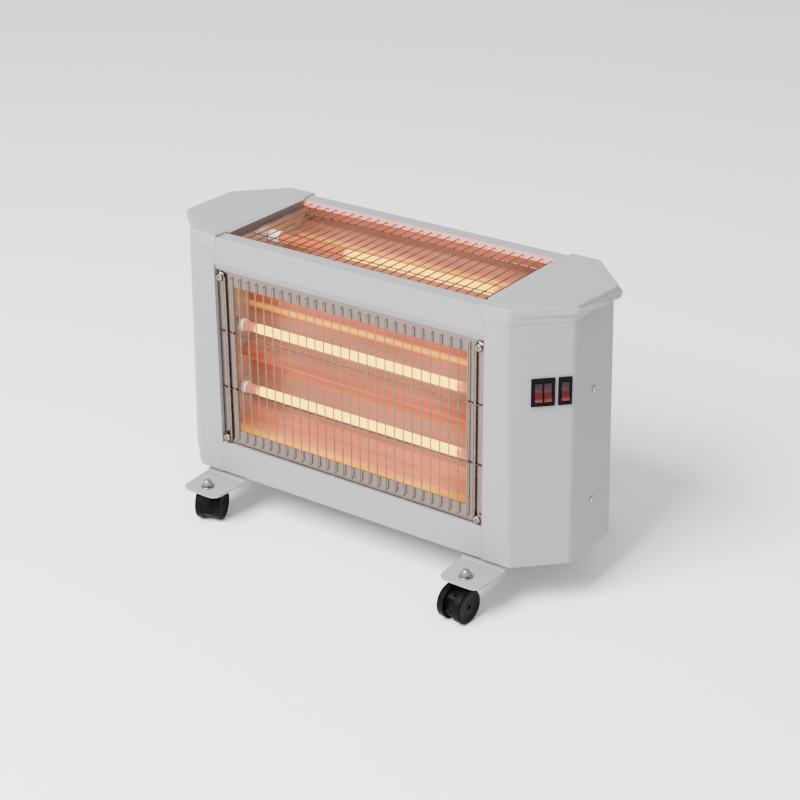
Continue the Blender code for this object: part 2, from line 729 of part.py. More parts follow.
def make_pan():
    """The bottom pan: an eight-sided tray with an upturned rim and ventilation slots."""
    inset = SHEET + CLEARANCE + panel_lean(PAN_RIM)
    outer = corner_points(inset)
    diagonal = outer[1][0] - outer[1][1]
    side = outer[2][0]
    right = [
        (0.0, -PAN_HALF_DEPTH),
        (diagonal - PAN_HALF_DEPTH, -PAN_HALF_DEPTH),
        (side, side - diagonal),
        (side, diagonal - side),
        (diagonal - PAN_HALF_DEPTH, PAN_HALF_DEPTH),
        (0.0, PAN_HALF_DEPTH),
    ]
    right = rounded(right, CORNER_RADIUS - inset)[1:-1]
    outline = right + [(-x, -y) for x, y in right]
    bm = bmesh.new()
    floor = bm.faces.new([bm.verts.new((x, y, PANEL_BOTTOM)) for x, y in outline])
    made = bmesh.ops.extrude_edge_only(bm, edges=list(floor.edges))["geom"]
    rim = [v for v in made if isinstance(v, bmesh.types.BMVert)]
    bmesh.ops.translate(bm, verts=rim, vec=(0, 0, PAN_RIM))
    bmesh.ops.recalc_face_normals(bm, faces=bm.faces)
    if floor.normal.z > 0:
        bmesh.ops.reverse_faces(bm, faces=bm.faces)
    mesh = bpy.data.meshes.new("bottom_pan")
    bm.to_mesh(mesh)
    bm.free()
    pan = solidify(add_object("bottom_pan", mesh, POWDER_COAT), PAN_SHEET, -1.0)
    pitch = 2 * (CASTOR_X - BRACKET_WIDTH / 2) / PAN_SLOT_COUNT
    turn = Matrix.Rotation(math.pi / 2, 4, "Z")
    slots = []
    for i in range(PAN_SLOT_COUNT):
        place = (pitch * (i - (PAN_SLOT_COUNT - 1) / 2), 0.0, PANEL_BOTTOM)
        slots.append((slot_mesh(PAN_SLOT_LENGTH), Matrix.Translation(place) @ turn))
    cut(pan, "pan_slots", joined_mesh("pan_slots", slots))


# Moulded end caps


def blend_through(value, stops):
    """A value read from straight runs between (place, value) stops."""
    for (low, first), (high, last) in zip(stops, stops[1:]):
        if value <= high:
            share = max(value - low, 0.0) / (high - low)
            return first + (last - first) * share
    return stops[-1][1]


def cap_ring(level, inset=0.0, start=0.0, flare=0.0, drop=0.0):
    """One outline of the right end cap, beginning at a distance from the seam.

    The flare spreads the ear, and the drop lowers it.
    """
    inner_x = SEAM_X + start
    sharp = corner_points(inset, inner_x, SIDE_LEAN)
    front_corner, side_front, side_rear, rear_corner = sharp[1:5]
    run = side_rear[1] - side_front[1]
    stops = [(side_front[0], side_front[1] + run * k / CAP_SIDE_STEPS) for k in range(1, CAP_SIDE_STEPS)]
    path = [sharp[0], front_corner, side_front, *stops, side_rear, rear_corner, sharp[-1]]
    bends = [CORNER_RADIUS] * 2
    path = rounded(path, [*bends, *[0.0] * len(stops), *bends])
    sideways = [
        (front_corner[1], 0.0),
        (side_front[1], EAR_FRONT_REACH),
        (side_rear[1], EAR_REAR_REACH),
        (rear_corner[1], REAR_REACH),
    ]
    backwards = [(side_front[1], 0.0), (side_rear[1], REAR_REACH / 2), (rear_corner[1], REAR_REACH)]
    fall = [(side_front[1], 0.0), (0.0, EAR_BULGE), (side_rear[1], 1.0), (rear_corner[1], REAR_FALL)]
    out = []
    for x, y in path:
        reach = 0.0 if x <= inner_x else flare * blend_through(y, sideways)
        shift = flare * blend_through(y, backwards)
        out.append((x + reach, y + shift, level - drop * blend_through(y, fall)))
    return out


def loft_mesh(name, rings):
    """A closed solid through closed outlines that have the same number of points."""
    bm = bmesh.new()
    rows = [[bm.verts.new(p) for p in ring] for ring in rings]
    for lower, upper in zip(rows, rows[1:]):
        for i, vert in enumerate(lower):
            bm.faces.new((lower[i - 1], vert, upper[i], upper[i - 1]))
    bm.faces.new(rows[0])
    bm.faces.new(rows[-1])
    return mesh_from(bm, name)


def make_end_caps():
    """The two moulded end caps: flush skirt, ear over the side, lip inside the panel, tongue at the opening.

    One run of outlines goes from the top down the outside, round the lip and up the hollow inside.
    """
    ear = CAP_BOTTOM + EAR_LEVEL
    sag = EAR_DROP * CAP_SAG
    lip_low = CAP_BOTTOM - CAP_LIP_DEPTH
    lip_outer = SHEET + CLEARANCE
    lip_inner = lip_outer + CAP_LIP_WALL
    lip_start = HALF_WINDOW + SHEET * 2 - SEAM_X
    rings = []
    for k in range(EDGE_STEPS + 1):
        turn = math.pi / 2 * k / EDGE_STEPS
        inset = CAP_CREASE * (1 - math.sin(turn))
        rings.append(cap_ring(CAP_TOP - CAP_CREASE * (1 - math.cos(turn)), inset, 0.0, CAP_SPREAD, sag))
    rings += [
        cap_ring(ear, 0.0, 0.0, CAP_SPREAD, EAR_DROP * EAR_VALLEY),
        cap_ring(ear - EAR_RIM, 0.0, 0.0, 1.0, EAR_DROP),
        cap_ring(ear - EAR_EDGE, 0.0, 0.0, EAR_UNDERCUT, EAR_DROP),
        cap_ring(ear - EAR_EDGE - EAR_RIM, 0.0, 0.0, 0.0, EAR_DROP),
        cap_ring(CAP_BOTTOM),
        cap_ring(CAP_BOTTOM, lip_outer, lip_start),
        cap_ring(lip_low, lip_outer, lip_start),
        cap_ring(lip_low, lip_inner, lip_start + CAP_LIP_WALL),
        cap_ring(CAP_BOTTOM + CAP_WALL / 2, lip_inner, lip_start + CAP_LIP_WALL),
        cap_ring(CAP_BOTTOM + CAP_WALL, CAP_WALL, CAP_WALL),
        cap_ring(CAP_TOP - CAP_CREASE - CAP_WALL / 2, CAP_WALL, CAP_WALL, CAP_SPREAD / 2, sag),
        cap_ring(CAP_TOP - CAP_WALL, CAP_WALL * 2, CAP_WALL, CAP_SPREAD / 2, sag),
    ]
    tongue_top = CAP_TOP - sag * REAR_FALL - CLEARANCE
    tongue = block_mesh(
        "tongue",
        (OPENING_HALF, -OPENING_WIDTH / 2 + CLEARANCE, tongue_top - CAP_WALL / 2),
        (SEAM_X + CAP_WALL / 2, OPENING_WIDTH / 2 - CLEARANCE, tongue_top),
    )
    for side, sign in SIDES.items():
        meshes = [loft_mesh("cap", rings), tongue.copy()]
        if sign < 0:
            meshes = [mirrored_x(mesh, mesh.name) for mesh in meshes]
        cap = add_object(f"end_cap_{side}", meshes[0], CAP_PLASTIC)
        weld(cap, f"cap_{side}_tongue", meshes[1])


# Reflector chambers


def make_reflector_frame():
    """The polished frame inside the window, with holes for its four screws."""
    half = HALF_WINDOW - CLEARANCE
    low = (-half, FRAME_FRONT, WINDOW_BOTTOM + CLEARANCE)
    high = (half, FRAME_FRONT + SHEET, WINDOW_TOP - CLEARANCE)
    frame = block("reflector_frame", low, high, POLISHED)
    low = (-FRAME_OPENING_HALF, FRAME_FRONT - SHEET, FRAME_SILL)
    high = (FRAME_OPENING_HALF, FRAME_FRONT + SHEET * 2, FRAME_HEAD)
    cut(frame, "frame_opening", block_mesh("hole", low, high))
    holes = []
    turn = Matrix.Rotation(math.pi / 2, 4, "X")
    for sign in SIDES.values():
        for z in FRAME_SCREW_LEVELS:
            spot = Matrix.Translation((sign * END_ROD_X, FRAME_FRONT, z))
            holes.append((hole_mesh(SCREW_SHANK), spot @ turn))
    cut(frame, "frame_screw_holes", joined_mesh("frame_screw_holes", holes))


def make_reflectors():
    """The front reflector with one trough behind each tube, and the tray under the top tube."""
    back = REFLECTOR_FRONT + REFLECTOR_DEPTH
    half = [
        (REFLECTOR_FRONT, FRAME_HEAD),
        (back - REFLECTOR_FACET, FRAME_HEAD - REFLECTOR_FACET),
        (back, FRAME_HEAD - REFLECTOR_CROWN),
        (back, FRAME_MIDDLE + RIDGE_HALF_WIDTH + RIDGE_SLOPE),
        (back - RIDGE_HEIGHT, FRAME_MIDDLE + RIDGE_HALF_WIDTH),
    ]
    section = half + [(y, 2 * FRAME_MIDDLE - z) for y, z in reversed(half)]
    folded_along_x("front_reflector", section, REFLECTOR_HALF, REFLECTOR_SHEET, POLISHED)
    rim = OPENING_WIDTH / 2 + SHEET
    rim_z = RAIL_TOP - OPENING_FLANGE - CLEARANCE - REFLECTOR_SHEET
    floor = TOP_REFLECTOR_FLOOR / 2
    knee = (floor + (rim - floor) * KNEE_SPREAD, rim_z - TOP_REFLECTOR_DROP * KNEE_FALL)
    half = [(rim, rim_z), knee, (floor, rim_z - TOP_REFLECTOR_DROP)]
    tray = [(-y, z) for y, z in half] + half[::-1]
    folded_along_x("top_reflector", tray, REFLECTOR_HALF, REFLECTOR_SHEET, POLISHED, -1.0)


def make_end_plates():
    """The two inner plates that carry the tubes, the reflectors and the window frame."""
    front = REFLECTOR_FRONT
    rear = HALF_DEPTH - RETURN_FLANGE
    foot = PAN_TOP + CLEARANCE
    for side, sign in SIDES.items():
        low = min(sign * PLATE_INNER, sign * PLATE_OUTER)
        high = max(sign * PLATE_INNER, sign * PLATE_OUTER)
        plate = block(f"end_plate_{side}", (low, front, foot), (high, rear, PLATE_TOP), GALVANISED)
        reach = (sign * PLATE_INNER, sign * PLATE_FLANGE)
        low, high = min(reach), max(reach)
        tab = block_mesh("tab", (low, front, WINDOW_BOTTOM), (high, front + SHEET, WINDOW_TOP - RAIL_LIP))
        weld(plate, f"plate_{side}_tab", tab)
        base = block_mesh("base", (low, front, foot), (high, rear, foot + SHEET))
        weld(plate, f"plate_{side}_base", base)
        spot = Matrix.Translation((sign * PLATE_INNER, 0.0, 0.0))
        for label, box in plate_notches(front, rear).items():
            cut(plate, f"plate_{side}_{label}", block_mesh(label, *box), spot)
        turn = Matrix.Rotation(math.pi / 2, 4, "Y")
        bores = [(HOLDER_NECK, y, z) for y, z in TUBE_PLACES.values()]
        bores.append((CABLE_PASS, 0.0, CABLE_PASS_Z))
        holes = []
        for diameter, y, z in bores:
            holes.append((hole_mesh(diameter), Matrix.Translation((sign * PLATE_INNER, y, z)) @ turn))
        turn = Matrix.Rotation(math.pi / 2, 4, "X")
        for z in FRAME_SCREW_LEVELS:
            holes.append((hole_mesh(SCREW_SHANK), Matrix.Translation((sign * END_ROD_X, front, z)) @ turn))
        cut(plate, f"plate_{side}_holes", joined_mesh("plate_holes", holes))


def plate_notches(front, rear):
    """The corners that an end plate leaves free for the pan's rim, and its slot for the top rail's lip."""
    side = HALF_WINDOW
    inside = PAN_HALF_DEPTH - PAN_SHEET - CLEARANCE
    low = PANEL_BOTTOM
    high = PANEL_BOTTOM + PAN_RIM + CLEARANCE
    lip_end = -HALF_DEPTH + RAIL_SLOPE + RAIL_LIP + CLEARANCE
    lip_top = WINDOW_TOP + SHEET + CLEARANCE
    return {
        "front_foot": ((-side, front - SHEET, low), (side, -inside, high)),
        "rear_foot": ((-side, inside, low), (side, rear + SHEET, high)),
        "lip_slot": ((-side, front - SHEET, WINDOW_TOP - CLEARANCE), (side, lip_end, lip_top)),
    }


# Tubes


def make_tubes():
    """Three quartz tubes, each with its heating coil and two ceramic end holders."""
    tube_half = PLATE_INNER - CLEARANCE - HOLDER_LENGTH + HOLDER_SOCKET - CLEARANCE
    outer = TUBE_DIAMETER / 2
    tube_profile = ring_profile(outer, outer - TUBE_WALL, -tube_half, tube_half)
    lit = tube_half - TUBE_COLD_END
    lead = LEAD_DIAMETER / 2
    core = CORE_DIAMETER / 2
    tip = PLATE_INNER + HOLDER_TAIL + LEAD_STUB
    half = [(0.0, tip), (lead, tip), (lead, lit), (core, lit)]
    element = half + [(r, -z) for r, z in reversed(half)]
    along_x = Matrix.Rotation(math.pi / 2, 4, "Y")
    for place, (y, z) in TUBE_PLACES.items():
        spot = Matrix.Translation((0.0, y, z)) @ along_x
        turned(f"quartz_tube_{place}", tube_profile, SMALL_STEPS, QUARTZ, spot)
        turned(f"heating_coil_{place}", element, SMALL_STEPS, GLOWING, spot)
        for side, sign in SIDES.items():
            turn = Matrix.Rotation(sign * math.pi / 2, 4, "Y")
            spot_end = Matrix.Translation((sign * (PLATE_INNER - CLEARANCE), y, z)) @ turn
            turned(f"ceramic_holder_{place}_{side}", holder_profile(), SMALL_STEPS, CERAMIC, spot_end)


def holder_profile():
    """The ceramic holder: a socket round the tube's end, a neck through the end plate, a bore for the lead."""
    bore = LEAD_DIAMETER / 2 + CLEARANCE
    socket = TUBE_DIAMETER / 2 + CLEARANCE
    wide = HOLDER_DIAMETER / 2
    neck = HOLDER_NECK / 2
    inner = -HOLDER_LENGTH
    seat = inner + HOLDER_SOCKET
    return [
        (bore, HOLDER_TAIL),
        (neck, HOLDER_TAIL),
        (neck, 0.0),
        (wide, 0.0),
        (wide, inner),
        (socket, inner),
        (socket, seat),
        (bore, seat),
    ]


# Grilles


def make_front_grille():
    """The chromed wire grille: bent upright wires welded to two cross wires and to two looped end rods."""
    back = FRAME_FRONT - CLEARANCE
    rod_y = back - END_ROD_DIAMETER / 2
    cross_y = back - WIRE_DIAMETER / 2 - CLEARANCE
    wire_y = cross_y - WIRE_DIAMETER + WIRE_WELD
    low = WINDOW_BOTTOM + FRONT_WIRE_MARGIN
    high = WINDOW_TOP - FRONT_WIRE_MARGIN
    tip = WIRE_DIAMETER
    tip_y = back - WIRE_DIAMETER / 2
    half = HALF_WINDOW - FRONT_WIRE_SIDE
    uprights = []
    for i in range(FRONT_WIRE_COUNT):
        x = half * (2 * i / (FRONT_WIRE_COUNT - 1) - 1)
        uprights.append([(x, tip_y, low), (x, wire_y, low + tip), (x, wire_y, high - tip), (x, tip_y, high)])
    grille = add_object("front_grille", wires_mesh("front_grille", uprights, WIRE_DIAMETER), CHROME_WIRE)
    reach = HALF_WINDOW - CLEARANCE - SHEET
    levels = [WINDOW_BOTTOM + height for height in CROSS_WIRE_HEIGHTS]
    cross = [[(-reach, cross_y, z), (reach, cross_y, z)] for z in levels]
    weld(grille, "front_cross_wires", wires_mesh("front_cross_wires", cross, WIRE_DIAMETER))
    rods = [end_rod_path(sign, rod_y) for sign in SIDES.values()]
    weld(grille, "front_end_rods", wires_mesh("front_end_rods", rods, END_ROD_DIAMETER))


def end_rod_path(sign, rod_y):
    """An upright end rod whose two ends curl round the window's corner screws."""
    lower, upper = FRAME_SCREW_LEVELS
    loop = ROD_LOOP_RADIUS
    curl = [math.radians(a) for a in range(0, ROD_LOOP_TURN + 1, ROD_LOOP_STEP)]
    centre_x = sign * END_ROD_X
    path = []
    for a in reversed(curl):
        path.append((centre_x - sign * loop * math.cos(a), rod_y, lower - loop * math.sin(a)))
    for a in curl:
        path.append((centre_x - sign * loop * math.cos(a), rod_y, upper + loop * math.sin(a)))
    return path


def make_top_grille():
    """The wire grille over the top tube, welded to two end rods and two long wires."""
    z = RAIL_TOP - TOP_WIRE_DROP
    reach = OPENING_WIDTH / 2 - CLEARANCE
    half = PLATE_INNER - TOP_WIRE_SIDE
    wires = []
    for i in range(TOP_WIRE_COUNT):
        x = half * (2 * i / (TOP_WIRE_COUNT - 1) - 1)
        wires.append([(x, -reach, z), (x, reach, z)])
    grille = add_object("top_grille", wires_mesh("top_grille", wires, WIRE_DIAMETER), CHROME_WIRE)
    low = z - WIRE_DIAMETER + WIRE_WELD
    half = PLATE_INNER - CLEARANCE
    long_wires = [[(-half, y, low), (half, y, low)] for y in (-LONG_WIRE_PLACE, LONG_WIRE_PLACE)]
    weld(grille, "top_long_wires", wires_mesh("top_long_wires", long_wires, WIRE_DIAMETER))


# Switches


def make_switches():
    """The double and the single rocker switch on the front right corner face."""
    inset = SWITCH_BODY_INSET
    half_height = BEZEL_HEIGHT / 2
    rockers = {
        "double": {"left": -ROCKER_PITCH / 2, "middle": ROCKER_PITCH / 2},
        "single": {"right": 0.0},
    }
    for label, width, place in switch_places():
        frame = corner_frame(place, SWITCH_HEIGHT)
        half = width / 2
        front = CLEARANCE + BEZEL_THICKNESS
        housing = block(
            f"{label}_switch_housing",
            (-half, -half_height, CLEARANCE),
            (half, half_height, front),
            BLACK_PLASTIC,
        )
        housing.matrix_world = frame
        body = block_mesh(
            "body",
            (-half + inset, -half_height + inset, -SWITCH_BODY_DEPTH),
            (half - inset, half_height - inset, front - BEZEL_THICKNESS / 2),
        )
        weld(housing, f"{label}_switch_body", body, frame)
        for name, offset in rockers[label].items():
            reach = ROCKER_WIDTH / 2 + CLEARANCE
            run = ROCKER_LENGTH / 2 + WELL_EXTRA / 2
            low = (offset - reach, -run, front - WELL_DEPTH)
            high = (offset + reach, run, front + SHEET)
            cut(housing, f"{name}_rocker_well", block_mesh("well", low, high), frame)
            make_rocker(f"rocker_{name}", frame, offset, front)


def make_rocker(name, frame, offset, front):
    """A translucent rocker with a roof-shaped face, pressed in at its top as when it is on."""
    half = ROCKER_LENGTH / 2
    roof = ROCKER_ROOF
    outline = [(-half, -ROCKER_BODY), (half, -ROCKER_BODY), (half, 0.0), (0.0, -roof), (-half, 0.0)]
    outline = [(y, z + roof) for y, z in outline]
    mesh = prism_mesh(name, outline, -ROCKER_WIDTH / 2, ROCKER_WIDTH / 2)
    across = Matrix(((0, 0, 1, 0), (1, 0, 0, 0), (0, 1, 0, 0), (0, 0, 0, 1)))
    mesh.transform(across)
    rocker = add_object(name, mesh, RED_PLASTIC)
    pivot = Matrix.Translation((offset, 0.0, front))
    rest = Matrix.Rotation(math.radians(-ROCKER_THROW / 2), 4, "X")
    rocker.matrix_world = frame @ pivot @ rest


# Brackets and castors


def bracket_height(y):
    """The bracket's rise at a distance from the middle: it steps up to meet the pan under the body."""
    share = (BRACKET_STEP_END - abs(y)) / BRACKET_STEP_RUN
    return BRACKET_STEP * min(max(share, 0.0), 1.0)


def bracket_outline():
    """The bracket's outline in plan, narrower and rounded at its two ends."""
    end = HALF_DEPTH + BRACKET_OVERHANG
    half = BRACKET_WIDTH / 2
    tip_half = half - BRACKET_NARROWING
    quarter = [(half, 0.0), (half, HALF_DEPTH), (tip_half, end), (0.0, end)]
    right = rounded(quarter, [0.0, BRACKET_CORNER])[:-1]
    rear = right + [(-x, y) for x, y in reversed(right)]
    return rear[:-1] + [(-x, -y) for x, y in rear[:-1]]


def make_brackets():
    """The two pressed brackets under the body, each with a castor at its front and its rear end."""
    step_start = BRACKET_STEP_END - BRACKET_STEP_RUN
    for side, sign in SIDES.items():
        bm = bmesh.new()
        top = bm.faces.new([bm.verts.new((sign * CASTOR_X + x, y, BRACKET_TOP)) for x, y in bracket_outline()])
        made = bmesh.ops.extrude_edge_only(bm, edges=list(top.edges))["geom"]
        rim = [v for v in made if isinstance(v, bmesh.types.BMVert)]
        bmesh.ops.translate(bm, verts=rim, vec=(0, 0, BRACKET_SHEET - BRACKET_FLANGE))
        for y in (-BRACKET_STEP_END, -step_start, step_start, BRACKET_STEP_END):
            geometry = [*bm.verts, *bm.edges, *bm.faces]
            bmesh.ops.bisect_plane(bm, geom=geometry, plane_co=(0, y, 0), plane_no=(0, 1, 0))
        for vert in bm.verts:
            vert.co.z += bracket_height(vert.co.y)
        bmesh.ops.recalc_face_normals(bm, faces=bm.faces)
        mesh = bpy.data.meshes.new(f"bracket_{side}")
        bm.to_mesh(mesh)
        bm.free()
        if max(mesh.polygons, key=lambda p: p.area).normal.z < 0:
            mesh.flip_normals()
        bracket = solidify(add_object(f"bracket_{side}", mesh, POWDER_COAT), BRACKET_SHEET, -1.0)
        holes = []
        for end_sign in ENDS.values():
            spot = Matrix.Translation((sign * CASTOR_X, end_sign * CASTOR_Y, BRACKET_TOP))
            holes.append((hole_mesh(STEM_DIAMETER, ROUND_STEPS), spot))
        cut(bracket, f"bracket_{side}_holes", joined_mesh("bracket_holes", holes))


def castor_places():
    """Each castor with its stem's place and the direction from its stem to its wheels."""
    for end, end_sign in ENDS.items():
        for side, sign in SIDES.items():
            angle = math.radians(SWIVEL_RIGHT if side == "right" else SWIVEL_LEFT)
            trail = Vector((math.sin(angle), -math.cos(angle), 0.0))
            if side == "left":
                trail = -trail
            trail.y *= -end_sign
            yield f"{end}_{side}", Vector((sign * CASTOR_X, end_sign * CASTOR_Y, 0.0)), trail


def make_castors():
    """Four twin-wheel castors: a swivelling body with its axle, a fixed stem with its dome nut, two wheels."""
    wheel_mesh = turned_mesh("castor_wheel", wheel_profile(), WHEEL_STEPS)
    wheel_mesh.transform(Matrix.Rotation(math.pi / WHEEL_STEPS, 4, "Z"))
    for name, stem, trail in castor_places():
        axle = trail.cross(Vector((0, 0, 1))).normalized()
        frame = Matrix((trail, axle, Vector((0, 0, 1)))).transposed().to_4x4()
        swivel = Matrix.Translation(stem) @ frame
        make_castor_body(f"castor_body_{name}", swivel)
        hub = Matrix.Translation(stem + trail * CASTOR_TRAIL + Vector((0, 0, AXLE_HEIGHT))) @ frame
        for label, way in (("inner", -1), ("outer", 1)):
            turn = Matrix.Rotation(-way * math.pi / 2, 4, "X")
            offset = Matrix.Translation((0.0, way * (CASTOR_WEB / 2 + CLEARANCE), 0.0))
            wheel = add_object(f"castor_wheel_{name}_{label}", wheel_mesh.copy(), BLACK_PLASTIC)
            wheel.matrix_world = hub @ offset @ turn
            smooth_round(wheel)
        turned(f"castor_stem_{name}", stem_profile(), ROUND_STEPS, ZINC_STEEL, Matrix.Translation(stem))


def wheel_profile():
    """One wheel from its inner face at height 0 to its dished outer face."""
    radius = WHEEL_DIAMETER / 2
    bore = AXLE_DIAMETER / 2 + CLEARANCE
    width = WHEEL_WIDTH
    bevel = WHEEL_EDGE / 3
    return [
        (bore, width - WHEEL_EDGE),
        (WHEEL_HUB_DIAMETER / 2, width - WHEEL_EDGE),
        (WHEEL_DISH_DIAMETER / 2, width),
        (radius - bevel, width - bevel),
        (radius, width - WHEEL_EDGE),
        (radius, 0.0),
        (bore, 0.0),
    ]


def make_castor_body(name, swivel):
    """The web between the wheels with its stem socket, in axes whose X points from the stem to the wheels."""
    radius = WHEEL_DIAMETER / 2 - WEB_SETBACK
    top = CASTOR_HEIGHT - STEM_COLLAR - CLEARANCE * 2
    shoulder = top - BOSS_SHOULDER
    boss = STEM_DIAMETER / 2 + BOSS_WALL
    spread = math.asin((AXLE_HEIGHT - WEB_FLOOR) / radius)
    sweep = spread + math.radians(WEB_ARC_END)
    arc = [sweep * k / WEB_STEPS - spread for k in range(WEB_STEPS + 1)]
    outline = [(CASTOR_TRAIL + radius * math.cos(a), AXLE_HEIGHT + radius * math.sin(a)) for a in arc]
    outline += [(boss, shoulder), (-boss, shoulder), (-boss, WEB_FLOOR + boss), (0.0, WEB_FLOOR)]
    mesh = prism_mesh(name, outline, -CASTOR_WEB / 2, CASTOR_WEB / 2)
    mesh.transform(Matrix.Rotation(math.pi / 2, 4, "X"))
    body = add_object(name, mesh, BLACK_PLASTIC)
    body.matrix_world = swivel
    collar = rod_profile(STEM_COLLAR_DIAMETER / 2, shoulder - CLEARANCE, top)
    weld(body, name + "_collar", turned_mesh("collar", collar, ROUND_STEPS), swivel)
    socket = rod_profile(STEM_DIAMETER / 2 + CLEARANCE, STEM_FOOT - CLEARANCE, top + SHEET)
    cut(body, name + "_socket", turned_mesh("socket", socket, ROUND_STEPS), swivel)
    reach = CASTOR_WEB / 2 + CLEARANCE + WHEEL_WIDTH - WHEEL_EDGE
    axle = turned_mesh("axle", rod_profile(AXLE_DIAMETER / 2, -reach, reach), SMALL_STEPS)
    across = Matrix.Translation((CASTOR_TRAIL, 0.0, AXLE_HEIGHT)) @ Matrix.Rotation(math.pi / 2, 4, "X")
    weld(body, name + "_axle", axle, swivel @ across)
    return smooth_round(body)


def stem_profile():
    """The castor stem: a pin in the body's socket, a collar under the bracket, a dome nut and washer on it."""
    shank = STEM_DIAMETER / 2
    collar = STEM_COLLAR_DIAMETER / 2
    collar_top = CASTOR_HEIGHT - CLEARANCE
    base = BRACKET_TOP + CLEARANCE
    shoulder = base + WASHER_THICKNESS
    wide = NUT_DIAMETER / 2
    dome = NUT_HEIGHT / 2
    arc = [math.radians(a) for a in NUT_ARC]
    cap = [(wide * math.cos(a), shoulder + dome + dome * math.sin(a)) for a in arc]
    return [
        (0.0, shoulder + NUT_HEIGHT),
        *cap,
        (wide, shoulder),
        (WASHER_DIAMETER / 2, shoulder),
        (WASHER_DIAMETER / 2, base),
        (shank, base),
        (shank, collar_top),
        (collar, collar_top),
        (collar, collar_top - STEM_COLLAR),
        (shank, collar_top - STEM_COLLAR),
        (shank, STEM_FOOT),
        (0.0, STEM_FOOT),
    ]


# Fasteners and electrical fittings


def screw_profile():
    """A pan-head screw along Z, with its head above 0 and its shank below."""
    wide = SCREW_HEAD_DIAMETER / 2
    shank = SCREW_SHANK / 2
    return [
        (0.0, SCREW_HEAD),
        (wide * SCREW_CROWN, SCREW_HEAD),
        (wide, SCREW_HEAD * SCREW_RIM),
        (wide, 0.0),
        (shank, 0.0),
        (shank, -SCREW_LENGTH),
        (0.0, -SCREW_LENGTH),
    ]


def make_side_screws():
    """The two screws on each side face."""
    for side, sign in SIDES.items():
        for label, height in zip(("lower", "upper"), SIDE_SCREW_HEIGHTS):
            spot = side_frame(sign, height) @ Matrix.Translation((0, 0, CLEARANCE))
            turned(f"side_screw_{side}_{label}", screw_profile(), SMALL_STEPS, ZINC_STEEL, spot)


def make_electrics():
    """The terminal block, the tip-over switch and the cable inlet."""
    foot = PAN_TOP + CLEARANCE
    width, depth, height = BLOCK_SIZE
    low = (FITTING_X, -depth / 2, foot)
    high = (FITTING_X + width, depth / 2, foot + height)
    block("terminal_block", low, high, CERAMIC)
    width, depth, height = TILT_SIZE
    low = (FITTING_X, -TILT_PLACE - depth / 2, foot)
    high = (FITTING_X + width, -TILT_PLACE + depth / 2, foot + height)
    tilt = block("tilt_switch", low, high, BLACK_PLASTIC)
    bevel = tilt.modifiers.new("edges", "BEVEL")
    bevel.width = SHEET
    bevel.segments = EDGE_STEPS
    bore = INLET_BORE / 2
    neck = INLET_DIAMETER / 2
    collar = INLET_COLLAR_DIAMETER / 2
    profile = [
        (bore, INLET_NOSE),
        (INLET_NOSE_DIAMETER / 2, INLET_NOSE),
        (collar, INLET_COLLAR),
        (collar, CLEARANCE),
        (neck, CLEARANCE),
        (neck, -INLET_DEPTH),
        (bore, -INLET_DEPTH),
    ]
    turned("cord_inlet", profile, ROUND_STEPS, BLACK_PLASTIC, inlet_frame())


def sleeve_start(base, index):
    """The start of a wire inside a sleeve, each at its own place in the sleeve's section."""
    angle = math.radians(BRANCH_ANGLE + BRANCH_TURN * index)
    spread = (SLEEVE_DIAMETER - CABLE_DIAMETER) / 2 - CLEARANCE
    depth = BRANCH_DEPTH + BRANCH_STAGGER * index
    return base + Vector((spread * math.cos(angle), spread * math.sin(angle), -depth))


def trunk_route(right_top, left_top):
    """The wire that loops out of the right sleeve, runs through both end plates and rises to the left one."""
    level = CABLE_PASS_Z
    route = [right_top - Vector((0.0, 0.0, SLEEVE_OVERLAP))]
    route += [right_top + Vector(bend) for bend in TRUNK_LOOP]
    across, back, up = TRUNK_APPROACH
    route.append(Vector((right_top.x + across, back, level + up)))
    route += [Vector((PLATE_OUTER * share, 0.0, level)) for share in (1, 0.5, -0.5, -1)]
    across, back, up = TRUNK_RISE
    route.append(Vector((left_top.x + across, back, level + up)))
    route.append(left_top - Vector((0.0, 0.0, SLEEVE_LENGTH / 2)))
    return smooth_route(route)


def make_harness():
    """The internal wires in one harness: two sleeves, and branches to the switches and the tubes."""
    tip = PLATE_INNER + HOLDER_TAIL + LEAD_STUB + CLEARANCE
    width, _, height = BLOCK_SIZE
    drop = Vector((0.0, 0.0, SLEEVE_LENGTH))
    right_top = Vector((FITTING_X + width / 2, 0.0, PAN_TOP + height + CLEARANCE * 2)) + drop
    left_top = Vector((-tip - LEFT_SLEEVE_GAP, 0.0, CABLE_PASS_Z + LEFT_SLEEVE_RISE))
    sleeve = wire_mesh("sleeve", [right_top - drop, right_top], SLEEVE_DIAMETER, 2)
    harness = add_object("wiring_harness", sleeve, CABLE_RUBBER)
    trunk = wire_mesh("trunk", trunk_route(right_top, left_top), CABLE_DIAMETER)
    weld(harness, "trunk", trunk, solver="MANIFOLD")
    sleeve = wire_mesh("left_sleeve", [left_top - drop, left_top], SLEEVE_DIAMETER, 2)
    weld(harness, "left_sleeve", sleeve, solver="MANIFOLD")
    routes = []
    for _, _, place in switch_places():
        frame = corner_frame(place, SWITCH_HEIGHT)
        start = sleeve_start(right_top, len(routes))
        back = -SWITCH_BODY_DEPTH - CLEARANCE
        bends = [frame @ Vector((0.0, -fall, back - gap)) for fall, gap in SWITCH_BENDS]
        routes.append([start, start + drop, *bends])
    for sign, top in ((1, right_top), (-1, left_top)):
        for y, z in TUBE_PLACES.values():
            start = sleeve_start(top, len(routes))
            bends = [(sign * (tip + out), y, z + up) for out, up in LEAD_BENDS]
            routes.append([start, start + drop, *bends])
    for i, route in enumerate(routes):
        branch = wire_mesh("branch", smooth_route(route), CABLE_DIAMETER)
        weld(harness, f"branch_{i}", branch, solver="MANIFOLD")


